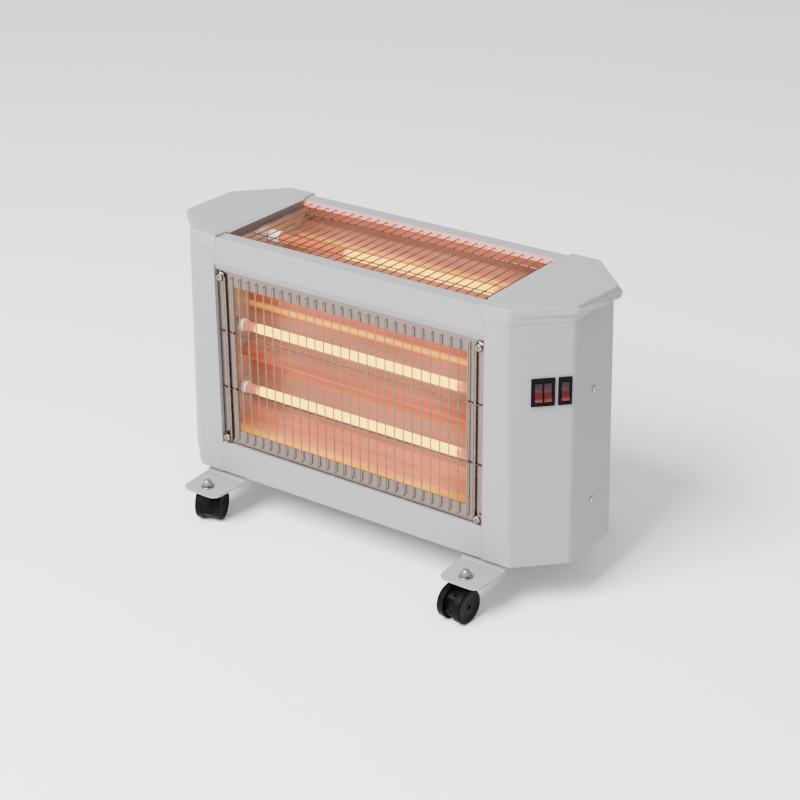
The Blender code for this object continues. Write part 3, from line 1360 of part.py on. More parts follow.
make_side_panels()
make_rails()
make_rear_panel()
make_pan()
make_end_caps()
make_reflector_frame()
make_reflectors()
make_end_plates()
make_tubes()
make_front_grille()
make_top_grille()
make_switches()
make_brackets()
make_castors()
make_side_screws()
make_electrics()
make_harness()
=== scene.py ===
"""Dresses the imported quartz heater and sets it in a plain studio.

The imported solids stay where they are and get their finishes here. The heating coils, the wheels, the stems with
their dome nuts and the screws are built again with the detail that the solids leave out.
"""

import json
import logging
import math
from dataclasses import dataclass, field
from enum import Enum

import bmesh
import bpy
from mathutils import Matrix, Vector

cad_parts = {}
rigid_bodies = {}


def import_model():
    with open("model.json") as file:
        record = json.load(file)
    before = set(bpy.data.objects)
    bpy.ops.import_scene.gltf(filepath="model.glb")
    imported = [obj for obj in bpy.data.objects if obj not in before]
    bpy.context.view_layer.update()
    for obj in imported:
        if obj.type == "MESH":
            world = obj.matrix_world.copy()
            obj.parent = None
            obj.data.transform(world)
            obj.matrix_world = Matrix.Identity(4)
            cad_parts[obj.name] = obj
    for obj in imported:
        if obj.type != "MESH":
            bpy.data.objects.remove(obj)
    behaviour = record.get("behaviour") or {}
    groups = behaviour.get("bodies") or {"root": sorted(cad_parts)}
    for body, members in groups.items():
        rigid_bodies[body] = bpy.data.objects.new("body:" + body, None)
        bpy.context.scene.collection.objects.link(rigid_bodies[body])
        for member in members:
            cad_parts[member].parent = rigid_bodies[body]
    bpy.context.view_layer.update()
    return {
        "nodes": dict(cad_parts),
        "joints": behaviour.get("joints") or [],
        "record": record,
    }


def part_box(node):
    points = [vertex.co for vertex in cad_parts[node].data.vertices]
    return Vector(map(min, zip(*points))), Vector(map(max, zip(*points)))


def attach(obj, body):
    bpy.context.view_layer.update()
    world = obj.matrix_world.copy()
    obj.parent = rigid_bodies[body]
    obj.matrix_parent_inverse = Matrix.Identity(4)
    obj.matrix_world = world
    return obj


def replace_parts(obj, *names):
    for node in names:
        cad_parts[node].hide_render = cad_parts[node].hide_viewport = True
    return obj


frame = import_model()

LOG = logging.getLogger("quartz_heater")
MM = 0.001
BODY = "heater"
BODY_OF = {node: body for body, nodes in frame["record"]["behaviour"]["bodies"].items() for node in nodes}

# Angles in degrees up to which neighbouring faces are shaded as one curve.
PIECE_ANGLE = 32.0
FOLD_ANGLE = 36.0
CAP_ANGLE = 25.0
WIRE_ANGLE = 66.0

# A point of a turned profile that is nearer to the axis than this, in metres, lies on it.
ON_AXIS = 1e-9
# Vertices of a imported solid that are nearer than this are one.
MERGE = 0.001 * MM
# The stretch of a pattern whose features are as long as they are wide.
EVEN = (1.0, 1.0, 1.0)

Point = tuple[float, float, float]
Bands = tuple[tuple[float, str], ...]


class Side(Enum):
    """The left or right end of the heater, with the sign of its X."""

    LEFT = ("left", -1)
    RIGHT = ("right", 1)

    @property
    def label(self) -> str:
        """The side's word in the names of nodes."""
        return self.value[0]

    @property
    def sign(self) -> int:
        """The sign of X on this side."""
        return self.value[1]


class Tube(Enum):
    """The three quartz tubes."""

    FRONT_LOWER = "front_lower"
    FRONT_UPPER = "front_upper"
    TOP = "top"

    @property
    def label(self) -> str:
        """The tube's words in the names of nodes."""
        return self.value


def linear(colour: str) -> tuple[float, float, float, float]:
    """Turns an sRGB hex colour into the linear RGBA that shader sockets take.

    Args:
        colour: Six hex digits after a hash.

    Returns:
        Linear red, green, blue and an alpha of 1.
    """
    levels = [int(colour[i : i + 2], 16) / 255 for i in (1, 3, 5)]
    red, green, blue = [c / 12.92 if c <= 0.04045 else ((c + 0.055) / 1.055) ** 2.4 for c in levels]
    return (red, green, blue, 1.0)


def add_node(
    tree: bpy.types.NodeTree, kind: str, settings: dict | None = None, links: dict | None = None
) -> bpy.types.Node:
    """Adds one shader node with its settings and links.

    Args:
        tree: The node tree that gets the node.
        kind: The node's type name.
        settings: Values for the node's own properties, or for its input sockets by name or number.
        links: Output sockets to join to the node's inputs, by the input's name or number.

    Returns:
        The new node.
    """
    node = tree.nodes.new(kind)
    for key, value in (settings or {}).items():
        if isinstance(key, str) and hasattr(node, key):
            setattr(node, key, value)
        else:
            node.inputs[key].default_value = value
    for key, socket in (links or {}).items():
        tree.links.new(socket, node.inputs[key])
    return node


# Finishes


@dataclass
class Surface:
    """A material while it is made: its tree, its Principled BSDF node and the place in object metres."""

    tree: bpy.types.NodeTree
    shader: bpy.types.Node
    place: bpy.types.NodeSocket

    def set(self, name: str, value: float | tuple[float, ...]) -> None:
        """Sets one of the shader's own sockets to a constant value."""
        self.shader.inputs[name].default_value = value

    def feed(self, name: str, socket: bpy.types.NodeSocket) -> None:
        """Joins another node's output to one of the shader's sockets."""
        self.tree.links.new(socket, self.shader.inputs[name])

    def axis(self, name: str) -> bpy.types.NodeSocket:
        """The place along X, Y or Z."""
        return add_node(self.tree, "ShaderNodeSeparateXYZ", links={0: self.place}).outputs[name]

    def remap(
        self, value: bpy.types.NodeSocket, start: float, stop: float, low: float = 0.0, high: float = 1.0
    ) -> bpy.types.NodeSocket:
        """Turns one range of values into another, and holds both of its ends.

        Args:
            value: The socket that holds the value.
            start: The value that becomes low.
            stop: The value that becomes high.
            low: What start becomes.
            high: What stop becomes.

        Returns:
            The socket that holds the new value.
        """
        limits = {"From Min": start, "From Max": stop, "To Min": low, "To Max": high}
        return add_node(self.tree, "ShaderNodeMapRange", limits, {"Value": value}).outputs[0]

    def distance(self, value: bpy.types.NodeSocket) -> bpy.types.NodeSocket:
        """The value without its sign."""
        return add_node(self.tree, "ShaderNodeMath", {"operation": "ABSOLUTE"}, {0: value}).outputs[0]

    def product(self, first: bpy.types.NodeSocket, second: bpy.types.NodeSocket) -> bpy.types.NodeSocket:
        """Two values multiplied."""
        return add_node(self.tree, "ShaderNodeMath", {"operation": "MULTIPLY"}, {0: first, 1: second}).outputs[0]

    def blend(self, share: bpy.types.NodeSocket, first: str, second: str) -> bpy.types.NodeSocket:
        """Mixes two colours.

        Args:
            share: How much of the second colour shows, from 0 to 1.
            first: The first colour as sRGB hex.
            second: The second colour as sRGB hex.

        Returns:
            The socket that holds the mixed colour.
        """
        colours = {"data_type": "RGBA", 6: linear(first), 7: linear(second)}
        return add_node(self.tree, "ShaderNodeMix", colours, {0: share}).outputs[2]

    def banded(self, level: bpy.types.NodeSocket, bands: Bands) -> bpy.types.NodeSocket:
        """Colours that change with the distance along one axis.

        Args:
            level: The distance in metres.
            bands: Distances in millimetres, in order, each with its sRGB hex colour.

        Returns:
            The socket that holds the colour.
        """
        low, high = bands[0][0], bands[-1][0]
        ramp = add_node(self.tree, "ShaderNodeValToRGB", links={0: self.remap(level, low * MM, high * MM)})
        stops = ramp.color_ramp.elements
        stops[0].color = linear(bands[0][1])
        stops[1].color = linear(bands[-1][1])
        for at, colour in bands[1:-1]:
            stops.new((at - low) / (high - low)).color = linear(colour)
        return ramp.outputs[0]

    def speckle(
        self, size_mm: float, low: float = 0.0, high: float = 1.0, stretch: Point = EVEN
    ) -> bpy.types.NodeSocket:
        """A soft random pattern with features of a real size.

        Args:
            size_mm: The width of one feature in millimetres.
            low: The value in the pattern's hollows.
            high: The value on its peaks.
            stretch: How many times longer a feature is along each axis.

        Returns:
            The socket that holds the value.
        """
        scale = tuple(1.0 / (size_mm * MM * s) for s in stretch)
        mapping = add_node(self.tree, "ShaderNodeMapping", {"Scale": scale}, {"Vector": self.place})
        settings = {"Scale": 1.0, "Detail": 2.0}
        noise = add_node(self.tree, "ShaderNodeTexNoise", settings, {"Vector": mapping.outputs[0]})
        # Noise seldom leaves the range from 0.3 to 0.7, so that range is spread over the whole scale.
        return self.remap(noise.outputs[0], 0.3, 0.7, low, high)

    def relief(self, size_mm: float, depth_mm: float, stretch: Point = EVEN) -> None:
        """Gives the surface a random relief.

        Args:
            size_mm: The width of one bump in millimetres.
            depth_mm: The real depth of the relief in millimetres.
            stretch: How many times longer a bump is along each axis.
        """
        height = self.speckle(size_mm, stretch=stretch)
        settings = {"Distance": depth_mm * MM, "Strength": 1.0}
        self.feed("Normal", add_node(self.tree, "ShaderNodeBump", settings, {"Height": height}).outputs[0])


@dataclass(frozen=True)
class Finish:
    """A surface finish: what the real material is, its colour and how it takes light.

    A child class adds the pattern that the way of making leaves, in detail().
    """

    name: str
    colour: str
    roughness: float
    metallic: float = 0.0
    specular: float = 0.5

    def detail(self, on: Surface) -> None:
        """Adds the finish's own pattern.

        Args:
            on: The surface that gets it.
        """

    def material(self) -> bpy.types.Material:
        """Makes the material, or finds it where it was made before.

        Returns:
            The material.
        """
        made = bpy.data.materials.get(self.name)
        if made is not None:
            return made
        made = bpy.data.materials.new(self.name)
        made.use_nodes = True
        tree = made.node_tree
        place = add_node(tree, "ShaderNodeTexCoord").outputs["Object"]
        on = Surface(tree, tree.nodes["Principled BSDF"], place)
        on.set("Base Color", linear(self.colour))
        on.set("Roughness", self.roughness)
        on.set("Metallic", self.metallic)
        if self.metallic == 0.0:
            on.set("Specular IOR Level", self.specular)
        self.detail(on)
        return made

    def stain(self, on: Surface, size_mm: float, most: float, other: str) -> None:
        """Lets another colour show through in patches.

        Args:
            on: The surface.
            size_mm: The width of one patch in millimetres.
            most: How much of the other colour shows at most, from 0 to 1.
            other: The other colour as sRGB hex.
        """
        on.feed("Base Color", on.blend(on.speckle(size_mm, 0.0, most), self.colour, other))

    def wear(self, on: Surface, size_mm: float, less: float, more: float, stretch: Point = EVEN) -> None:
        """Lets the roughness vary.

        Args:
            on: The surface.
            size_mm: The width of one patch in millimetres.
            less: How far the roughness falls below the finish's own.
            more: How far it rises above it.
            stretch: How many times longer a patch is along each axis.
        """
        on.feed("Roughness", on.speckle(size_mm, self.roughness - less, self.roughness + more, stretch))


@dataclass(frozen=True)
class PowderCoat(Finish):
    """Polyester powder coat on sheet steel, baked: a satin skin with a fine orange peel."""

    # The peel is really about 0.8 mm across; it is drawn at 1.6 mm so that it shows in the render.
    peel_mm: float = 1.6
    peel_depth_mm: float = 0.02
    cloud_mm: float = 60.0
    cloud_share: float = 0.10
    cloud: str = "#797A7D"
    gloss_mm: float = 35.0

    def detail(self, on: Surface) -> None:
        """Adds the orange peel, a faint cloudiness and a little wear in the gloss.

        Args:
            on: The surface that gets them.
        """
        on.relief(self.peel_mm, self.peel_depth_mm)
        self.stain(on, self.cloud_mm, self.cloud_share, self.cloud)
        self.wear(on, self.gloss_mm, less=0.04, more=0.05)


@dataclass(frozen=True)
class LitPowderCoat(PowderCoat):
    """The same coat on the rails beside the top tube, with a painted orange glow on the flanges round the opening that
    stands in for the tube's light.
    """

    glow: str = "#FF5A1E"
    strength: float = 1.6
    flange_mm: float = 71.5
    flange_edge_mm: float = 0.3
    rim_mm: float = 345.4
    rim_edge_mm: float = 0.5

    def detail(self, on: Surface) -> None:
        """Adds a painted orange glow on the flanges, standing in for the tube's light, to the coat's own pattern.

        Args:
            on: The surface that gets it.
        """
        super().detail(on)
        # Painted glow: orange emission on the flanges at the opening's rim, standing in for the tube's light.
        on.set("Emission Color", linear(self.glow))
        across = on.distance(on.axis("Y"))
        near = on.remap(across, self.flange_mm * MM, (self.flange_mm - self.flange_edge_mm) * MM)
        rim, under = self.rim_mm * MM, (self.rim_mm - self.rim_edge_mm) * MM
        on.feed("Emission Strength", on.product(near, on.remap(on.axis("Z"), rim, under, 0.0, self.strength)))


@dataclass(frozen=True)
class MouldedPlastic(Finish):
    """Injection-moulded plastic from a spark-eroded mould: an even matt grain."""

    grain_mm: float = 0.9
    depth_mm: float = 0.02
    flow_mm: float = 30.0
    flow_share: float = 0.12
    cloud: str = "#7E7F81"
    gloss_mm: float = 12.0

    def detail(self, on: Surface) -> None:
        """Adds the mould's grain and slight flow marks.

        Args:
            on: The surface that gets them.
        """
        on.relief(self.grain_mm, self.depth_mm)
        self.stain(on, self.flow_mm, self.flow_share, self.cloud)
        self.wear(on, self.gloss_mm, less=0.03, more=0.05)


@dataclass(frozen=True)
class RolledMirror(Finish):
    """Bright rolled aluminium sheet: a mirror with fine rolling lines and a slow ripple."""

    line_mm: float = 0.8
    line_stretch: Point = (60.0, 1.0, 1.0)
    ripple_mm: float = 14.0
    ripple_depth_mm: float = 0.12
    ripple_stretch: Point = (3.0, 1.0, 1.0)
    haze_mm: float = 25.0
    haze_share: float = 0.25
    haze: str = "#9C6E5E"

    def detail(self, on: Surface) -> None:
        """Adds rolling lines along the sheet, ripples from the folding, and a dull haze.

        Args:
            on: The surface that gets them.
        """
        self.wear(on, self.line_mm, less=0.03, more=0.06, stretch=self.line_stretch)
        on.relief(self.ripple_mm, self.ripple_depth_mm, self.ripple_stretch)
        self.stain(on, self.haze_mm, self.haze_share, self.haze)


@dataclass(frozen=True)
class GlowingMirror(RolledMirror):
    """The same sheet round the hot tubes, with a painted orange glow that stands in for the tubes' light reflected on
    it: each fold carries its own band of it along X.
    """

    axis: str = "Z"
    facing: Point = (0.0, -1.0, 0.0)
    bands: Bands = ()
    strength: float = 2.4
    full_mm: float = 100.0
    dim_mm: float = 166.0
    dim: float = 0.4
    facing_edge: float = 0.05
    patch_mm: float = 12.0
    patch_range: tuple[float, float] = (0.82, 1.15)
    patch_stretch: Point = (8.0, 1.0, 1.0)

    def detail(self, on: Surface) -> None:
        """Adds the painted glow to the rolled sheet's own pattern, weaker at the tubes' cold ends.

        Args:
            on: The surface that gets it.
        """
        super().detail(on)
        on.feed("Emission Color", on.banded(on.axis(self.axis), self.bands))
        share = on.remap(on.distance(on.axis("X")), self.dim_mm * MM, self.full_mm * MM, self.dim)
        least, most = (level * self.strength for level in self.patch_range)
        uneven = on.speckle(self.patch_mm, least, most, self.patch_stretch)
        # The painted glow goes only on the side that faces the tubes, so the sheet's back stays dark behind the rear
        # slots.
        normal = add_node(on.tree, "ShaderNodeTexCoord").outputs["Normal"]
        turn = add_node(on.tree, "ShaderNodeVectorMath", {"operation": "DOT_PRODUCT", 1: self.facing}, {0: normal})
        inner = on.remap(turn.outputs["Value"], 0.0, self.facing_edge)
        on.feed("Emission Strength", on.product(uneven, on.product(share, inner)))


@dataclass(frozen=True)
class Galvanised(Finish):
    """Hot-dip galvanised sheet: crystals of zinc a few millimetres wide, each at its own grey, with a faint painted
    warm glow for the tubes' light.
    """

    spangle_mm: float = 7.0
    spangle: str = "#8E9194"
    glow: str = "#C49274"
    strength: float = 0.4

    def detail(self, on: Surface) -> None:
        """Adds the spangle in colour and gloss, and a painted warm glow on the plates that stands in for the tubes'
        light.

        Args:
            on: The surface that gets them.
        """
        # Painted glow: an even warm emission for the tubes' light on the plates.
        on.set("Emission Color", linear(self.glow))
        on.set("Emission Strength", self.strength)
        settings = {"Scale": 1.0 / (self.spangle_mm * MM)}
        cells = add_node(on.tree, "ShaderNodeTexVoronoi", settings, {"Vector": on.place})
        split = add_node(on.tree, "ShaderNodeSeparateColor", links={0: cells.outputs["Color"]})
        on.feed("Base Color", on.blend(split.outputs[0], self.colour, self.spangle))
        on.feed("Roughness", on.remap(split.outputs[1], 0.0, 1.0, self.roughness - 0.08, self.roughness + 0.12))


@dataclass(frozen=True)
class PlatedWire(Finish):
    """Drawn steel wire, spot welded and bright plated: polished, with faint draw marks, and a brown-grey colour
    darkened further in patches as painted shade for wires seen against the glow.
    """

    haze_mm: float = 9.0
    haze_share: float = 0.6
    haze: str = "#5A4C44"
    polish_mm: float = 3.0

    def detail(self, on: Surface) -> None:
        """Adds the darker patches of painted shade and an uneven polish.

        Args:
            on: The surface that gets them.
        """
        # Painted shade: darker brown-grey patches for wires seen against the glow.
        self.stain(on, self.haze_mm, self.haze_share, self.haze)
        self.wear(on, self.polish_mm, less=0.05, more=0.08)


@dataclass(frozen=True)
class Heat:
    """The stretch of a tube that glows at full heat, with the glow's colour and strength there."""

    start_mm: float
    stop_mm: float
    glow: str
    strength: float

    def share(self, on: Surface, edge_mm: float) -> bpy.types.NodeSocket:
        """How hot each place along X is.

        Args:
            on: The surface that glows.
            edge_mm: The length over which the heat fades at either end.

        Returns:
            The socket that holds 1 in the hot stretch and 0 beyond it.
        """
        middle, half = (self.start_mm + self.stop_mm) / 2, (self.stop_mm - self.start_mm) / 2
        settings = {"operation": "SUBTRACT", 1: middle * MM}
        offset = add_node(on.tree, "ShaderNodeMath", settings, {0: on.axis("X")})
        return on.remap(on.distance(offset.outputs[0]), half * MM, (half - edge_mm) * MM)


@dataclass(frozen=True)
class QuartzGlass(Finish):
    """Clear fused quartz, drawn as tube: it shows the coil inside, with a painted glow where the coil is hot that
    stands in for the coil's light in the glass.
    """

    # Painted glow on the glass for the coil's light: the hot stretch, its colour and its strength.
    heat: Heat = Heat(-141.0, 141.0, "#FFD210", 5.6)
    fade_mm: float = 7.0
    ember: str = "#FF7A60"
    ember_strength: float = 1.3
    opacity: float = 0.50
    hot_opacity: float = 0.78
    line_mm: float = 1.2
    line_stretch: Point = (30.0, 1.0, 1.0)
    ior: float = 1.458

    def detail(self, on: Surface) -> None:
        """Adds the clearness, a painted warm glow between the cold ends, and faint draw lines.

        Args:
            on: The surface that gets them.
        """
        on.set("IOR", self.ior)
        hot = self.heat.share(on, self.fade_mm)
        on.feed("Emission Color", on.blend(hot, self.ember, self.heat.glow))
        on.feed("Emission Strength", on.remap(hot, 0.0, 1.0, self.ember_strength, self.heat.strength))
        on.feed("Alpha", on.remap(hot, 0.0, 1.0, self.opacity, self.hot_opacity))
        self.wear(on, self.line_mm, less=0.0, more=0.08, stretch=self.line_stretch)


@dataclass(frozen=True)
class HotWire(Finish):
    """Resistance alloy wire at full heat: yellow in the middle and orange at the cooler ends."""

    heat: Heat = Heat(-139.0, 139.0, "#FFC83C", 9.0)
    fade_mm: float = 15.0
    cool: str = "#FF6A28"
    cool_strength: float = 1.2
    turn_mm: float = 8.0
    turn_range: tuple[float, float] = (0.85, 1.15)

    def detail(self, on: Surface) -> None:
        """Adds the glow, cooler towards the ends, with turns that differ a little in heat.

        Args:
            on: The surface that gets it.
        """
        warm = self.heat.share(on, self.fade_mm)
        on.feed("Emission Color", on.blend(warm, self.cool, self.heat.glow))
        level = on.remap(warm, 0.0, 1.0, self.cool_strength, self.heat.strength)
        on.feed("Emission Strength", on.product(on.speckle(self.turn_mm, *self.turn_range), level))


@dataclass(frozen=True)
class Steatite(Finish):
    """Unglazed pressed ceramic: chalky, with fine pores and a scorched tint near the heat."""

    pore_mm: float = 0.8
    pore_depth_mm: float = 0.05
    scorch_mm: float = 5.0
    scorch_share: float = 0.5
    scorch: str = "#B79F88"

    def detail(self, on: Surface) -> None:
        """Adds pores and a warm stain.

        Args:
            on: The surface that gets them.
        """
        on.relief(self.pore_mm, self.pore_depth_mm)
        self.stain(on, self.scorch_mm, self.scorch_share, self.scorch)


@dataclass(frozen=True)
class DeepPolycarbonate(Finish):
    """Dark red see-through polycarbonate over a black well, painted nearly black at the top as shade and paler at the
    foot as a sheen.
    """

    shades: Bands = (
        (247.0, "#52302E"),
        (250.0, "#4E2422"),
        (250.8, "#44090C"),
        (257.0, "#3A080B"),
        (263.0, "#1E0507"),
        (267.0, "#120304"),
    )
    ripple_mm: float = 2.0
    ripple_depth_mm: float = 0.03
    ior: float = 1.585

    def detail(self, on: Surface) -> None:
        """Adds the painted sheen at the foot and the painted shade towards the head, and the moulding's ripples.

        Args:
            on: The surface that gets them.
        """
        on.set("IOR", self.ior)
        # Painted light by height: a pale sheen at the foot and shade towards the top.
        on.feed("Base Color", on.banded(on.axis("Z"), self.shades))
        on.relief(self.ripple_mm, self.ripple_depth_mm)


@dataclass(frozen=True)
class MetalPlate(Finish):
    """Zinc or nickel plate on turned steel: slightly milky, with small dents and faint tool marks."""

    bloom_mm: float = 2.5
    bloom_share: float = 0.5
    bloom: str = "#85878A"
    dent_mm: float = 1.2

    def detail(self, on: Surface) -> None:
        """Adds the milky bloom and the dents' uneven gloss.

        Args:
            on: The surface that gets them.
        """
        self.stain(on, self.bloom_mm, self.bloom_share, self.bloom)
        self.wear(on, self.dent_mm, less=0.06, more=0.10)


# Powder-coated steel gives a calm, even light grey with soft highlights along the folds.
PAINT = PowderCoat("powder_coat_satin_grey_steel", "#878789", 0.48, specular=0.15)
# The same paint on the rails, with a painted orange glow on the opening's flanges for the top tube's light.
RAIL_PAINT = LitPowderCoat("powder_coat_satin_grey_rail", "#878789", 0.48, specular=0.15)
# ABS caps are the same grey, a touch smoother and paler than the paint.
CAP_ABS = MouldedPlastic("moulded_abs_satin_grey", "#8B8B8D", 0.45, specular=0.2)

# Painted glow on the reflectors' folds, for the tubes' light reflected there: each colour with its height or its depth
# in millimetres.
EMBER, ROSE, GOLD, FLAME, DUSK = "#A94F32", "#A15F47", "#FFAA30", "#CC6C49", "#744132"
FRONT_PAINTED_GLOW_BANDS = (
    (110.0, FLAME),
    (112.5, GOLD),
    (115.0, FLAME),
    (127.0, FLAME),
    (132.0, ROSE),
    (172.0, ROSE),
    (182.0, EMBER),
    (203.0, EMBER),
    (207.0, ROSE),
    (245.0, ROSE),
    (250.5, EMBER),
    (253.5, GOLD),
    (257.0, GOLD),
    (260.0, EMBER),
    (290.0, EMBER),
)
TOP_PAINTED_GLOW_BANDS = (
    (-70.5, EMBER),
    (-60.0, DUSK),
    (-50.0, FLAME),
    (-30.0, ROSE),
    (44.0, ROSE),
    (46.5, GOLD),
    (49.0, FLAME),
    (53.0, ROSE),
    (57.5, ROSE),
    (60.0, DUSK),
    (63.5, DUSK),
    (66.0, EMBER),
    (70.5, EMBER),
)
# Rolled aluminium gets a painted soft-edged picture of the glowing tubes all over the chamber, as emission in bands
# over a dark brown tint that also stands in for the glow's colour.
MIRROR = GlowingMirror("rolled_bright_aluminium", "#46281E", 0.17, 1.0, haze="#3A221A", bands=FRONT_PAINTED_GLOW_BANDS)
# The same sheet in the tray under the top tube faces up, and its painted glow gives the top opening its orange depth.
TRAY_MIRROR = GlowingMirror(
    "rolled_bright_aluminium_tray",
    "#46281E",
    0.17,
    1.0,
    haze="#3A221A",
    axis="Y",
    facing=(0.0, 0.0, 1.0),
    bands=TOP_PAINTED_GLOW_BANDS,
)
# The frame strip is the same sheet, left duller so that it reads as a beige-grey border.
FRAME_STRIP = RolledMirror("rolled_dull_aluminium", "#766A63", 0.32, 1.0, haze="#6C5F58")
# Galvanised sheet gives a mottled beige-grey inside the ends, with a faint painted warm glow for the tubes' light.
ZINC_SHEET = Galvanised("hot_dip_galvanised_steel", "#B2A294", 0.38, 1.0)
# Plated wire, darkened brown-grey as painted shade, gives thin bright lines on the shaded side and dark ones against
# the glow.
WIRE = PlatedWire("bright_plated_steel_wire", "#776961", 0.24, 1.0)
# Fused quartz is clear, and its painted glow carries the coil's light to its whole width.
QUARTZ = QuartzGlass("drawn_fused_quartz", "#4A3420", 0.04)
# The photographed top tube is golden, and orange over its left third, which runs cooler; its painted glow follows
# that.
TOP_QUARTZ = QuartzGlass(
    "drawn_fused_quartz_half_heat",
    "#4A2E18",
    0.04,
    heat=Heat(-65.0, 141.0, "#FFBE00", 5.0),
    ember="#FF6A20",
    ember_strength=1.5,
)
# Hot resistance wire is the brightest thing in view.
COIL = HotWire("iron_chromium_wire_at_heat", "#6B3A22", 0.5)
# The top tube's wire glows over the same two thirds as its quartz.
TOP_COIL = HotWire("iron_chromium_wire_half_heat", "#6B3A22", 0.5, heat=Heat(-63.0, 139.0, "#FFA828", 6.0))
# Steatite holders give chalky off-white blocks at the tube ends.
CERAMIC = Steatite("pressed_steatite", "#D9D1C4", 0.62)
# Black polyamide gives a soft sheen on wheels and switch bodies.
BLACK = MouldedPlastic("moulded_black_polyamide", "#050505", 0.5, specular=0.06, cloud="#090909")
# Polycarbonate rockers show a deep red, painted darker to the top as shade and pale at the foot as a sheen.
RED = DeepPolycarbonate("moulded_red_polycarbonate", "#3A080B", 0.28, specular=0.2)
# Bright zinc plate on the side screws gives small sharp highlights.
ZINC = MetalPlate("bright_zinc_plated_steel", "#A9ABAD", 0.26, 1.0)
# Duller zinc on the castor stems gives grey dome nuts with soft highlights.
DULL_ZINC = MetalPlate("dull_zinc_plated_steel", "#8A8C8F", 0.36, 1.0)
# Nickel plate browned by the heat gives dull, warm screw heads in the window's corners.
NICKEL = MetalPlate("heat_browned_nickel_plate", "#867A70", 0.34, 1.0)
# Soft PVC insulation is dull and slightly waxy.
PVC = MouldedPlastic("extruded_grey_pvc", "#7A7C7E", 0.5, cloud="#686A6C")
# Matt vinyl gives an even pale ground with a soft shadow.
VINYL = MouldedPlastic("matt_white_vinyl", "#FAFAFB", 0.9, specular=0.1, cloud="#F6F6F7")


# Meshes


def mesh_object(name: str, bm: bmesh.types.BMesh) -> bpy.types.Object:
    """Turns a bmesh into an object of the scene.

    Args:
        name: The name of the object and of its mesh.
        bm: Its mesh, in metres and in place; it is freed here.

    Returns:
        The new object.
    """
    mesh = bpy.data.meshes.new(name)
    bm.to_mesh(mesh)
    bm.free()
    obj = bpy.data.objects.new(name, mesh)
    bpy.context.scene.collection.objects.link(obj)
    return obj


def applied(obj: bpy.types.Object) -> None:
    """Makes the shape that a piece's modifiers give its own mesh, and takes the modifiers off.

    Args:
        obj: The piece.
    """
    graph = bpy.context.evaluated_depsgraph_get()
    made = bpy.data.meshes.new_from_object(obj.evaluated_get(graph))
    obj.modifiers.clear()
    obj.data = made


def new_piece(
    name: str, bm: bmesh.types.BMesh, finish: Finish, body: str = BODY, angle: float = PIECE_ANGLE
) -> bpy.types.Object:
    """Turns a bmesh into a piece of the heater that rides on a body.

    Args:
        name: The piece's name.
        bm: Its mesh, in metres and in place; it is freed here.
        finish: Its finish.
        body: The body that it rides on.
        angle: The angle in degrees up to which neighbouring faces are shaded as one curve.

    Returns:
        The new object.
    """
    bmesh.ops.recalc_face_normals(bm, faces=bm.faces)
    obj = mesh_object(name, bm)
    obj.data.shade_smooth()
    obj.data.set_sharp_from_angle(angle=math.radians(angle))
    obj.data.materials.append(finish.material())
    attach(obj, body)
    return obj


def dress(finish: Finish, *nodes: str) -> None:
    """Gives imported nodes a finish.

    Args:
        finish: The finish that they get.
        nodes: The names of the nodes.
    """
    for node in nodes:
        for slot in frame["nodes"][node].material_slots:
            slot.material = finish.material()


def smoothed(finish: Finish, *nodes: str, angle: float = FOLD_ANGLE) -> None:
    """Puts a smooth-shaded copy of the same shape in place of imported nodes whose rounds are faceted.

    Args:
        finish: The finish that the copies get.
        nodes: The names of the nodes.
        angle: The angle in degrees up to which neighbouring faces are shaded as one curve.
    """
    for node in nodes:
        bm = bmesh.new()
        bm.from_mesh(frame["nodes"][node].data)
        bmesh.ops.remove_doubles(bm, verts=bm.verts, dist=MERGE)
        piece = new_piece(f"{node}_smooth", bm, finish, BODY_OF[node], angle)
        piece.modifiers.new("weights", "WEIGHTED_NORMAL").keep_sharp = True
        applied(piece)
        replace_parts(piece, node)


def lathe(
    profile: list[tuple[float, float]], steps: int, place: Matrix, bm: bmesh.types.BMesh | None = None
) -> bmesh.types.BMesh:
    """Turns a profile of (radius, height) points round Z.

    Args:
        profile: The points, from one end of the axis to the other or as a closed ring.
        steps: The number of facets in a full turn.
        place: Where the turned shape goes.
        bm: A mesh to add it to, or None for a new one.

    Returns:
        The mesh.
    """
    bm = bm or bmesh.new()
    angles = [2 * math.pi * k / steps for k in range(steps)]
    rows = []
    for radius, height in profile:
        around = [0.0] if radius <= ON_AXIS else angles
        points = [Vector((radius * math.cos(a), radius * math.sin(a), height)) for a in around]
        rows.append([bm.verts.new(place @ point) for point in points])
    pairs = list(zip(rows, rows[1:]))
    if profile[0][0] > ON_AXIS and profile[-1][0] > ON_AXIS:
        pairs.append((rows[-1], rows[0]))
    for first, second in pairs:
        for k in range(steps):
            edge, facing = ([row[k % len(row)], row[(k + 1) % len(row)]] for row in (first, second))
            corners = list(dict.fromkeys(edge + facing[::-1]))
            if len(corners) > 2:
                bm.faces.new(corners)
    return bm


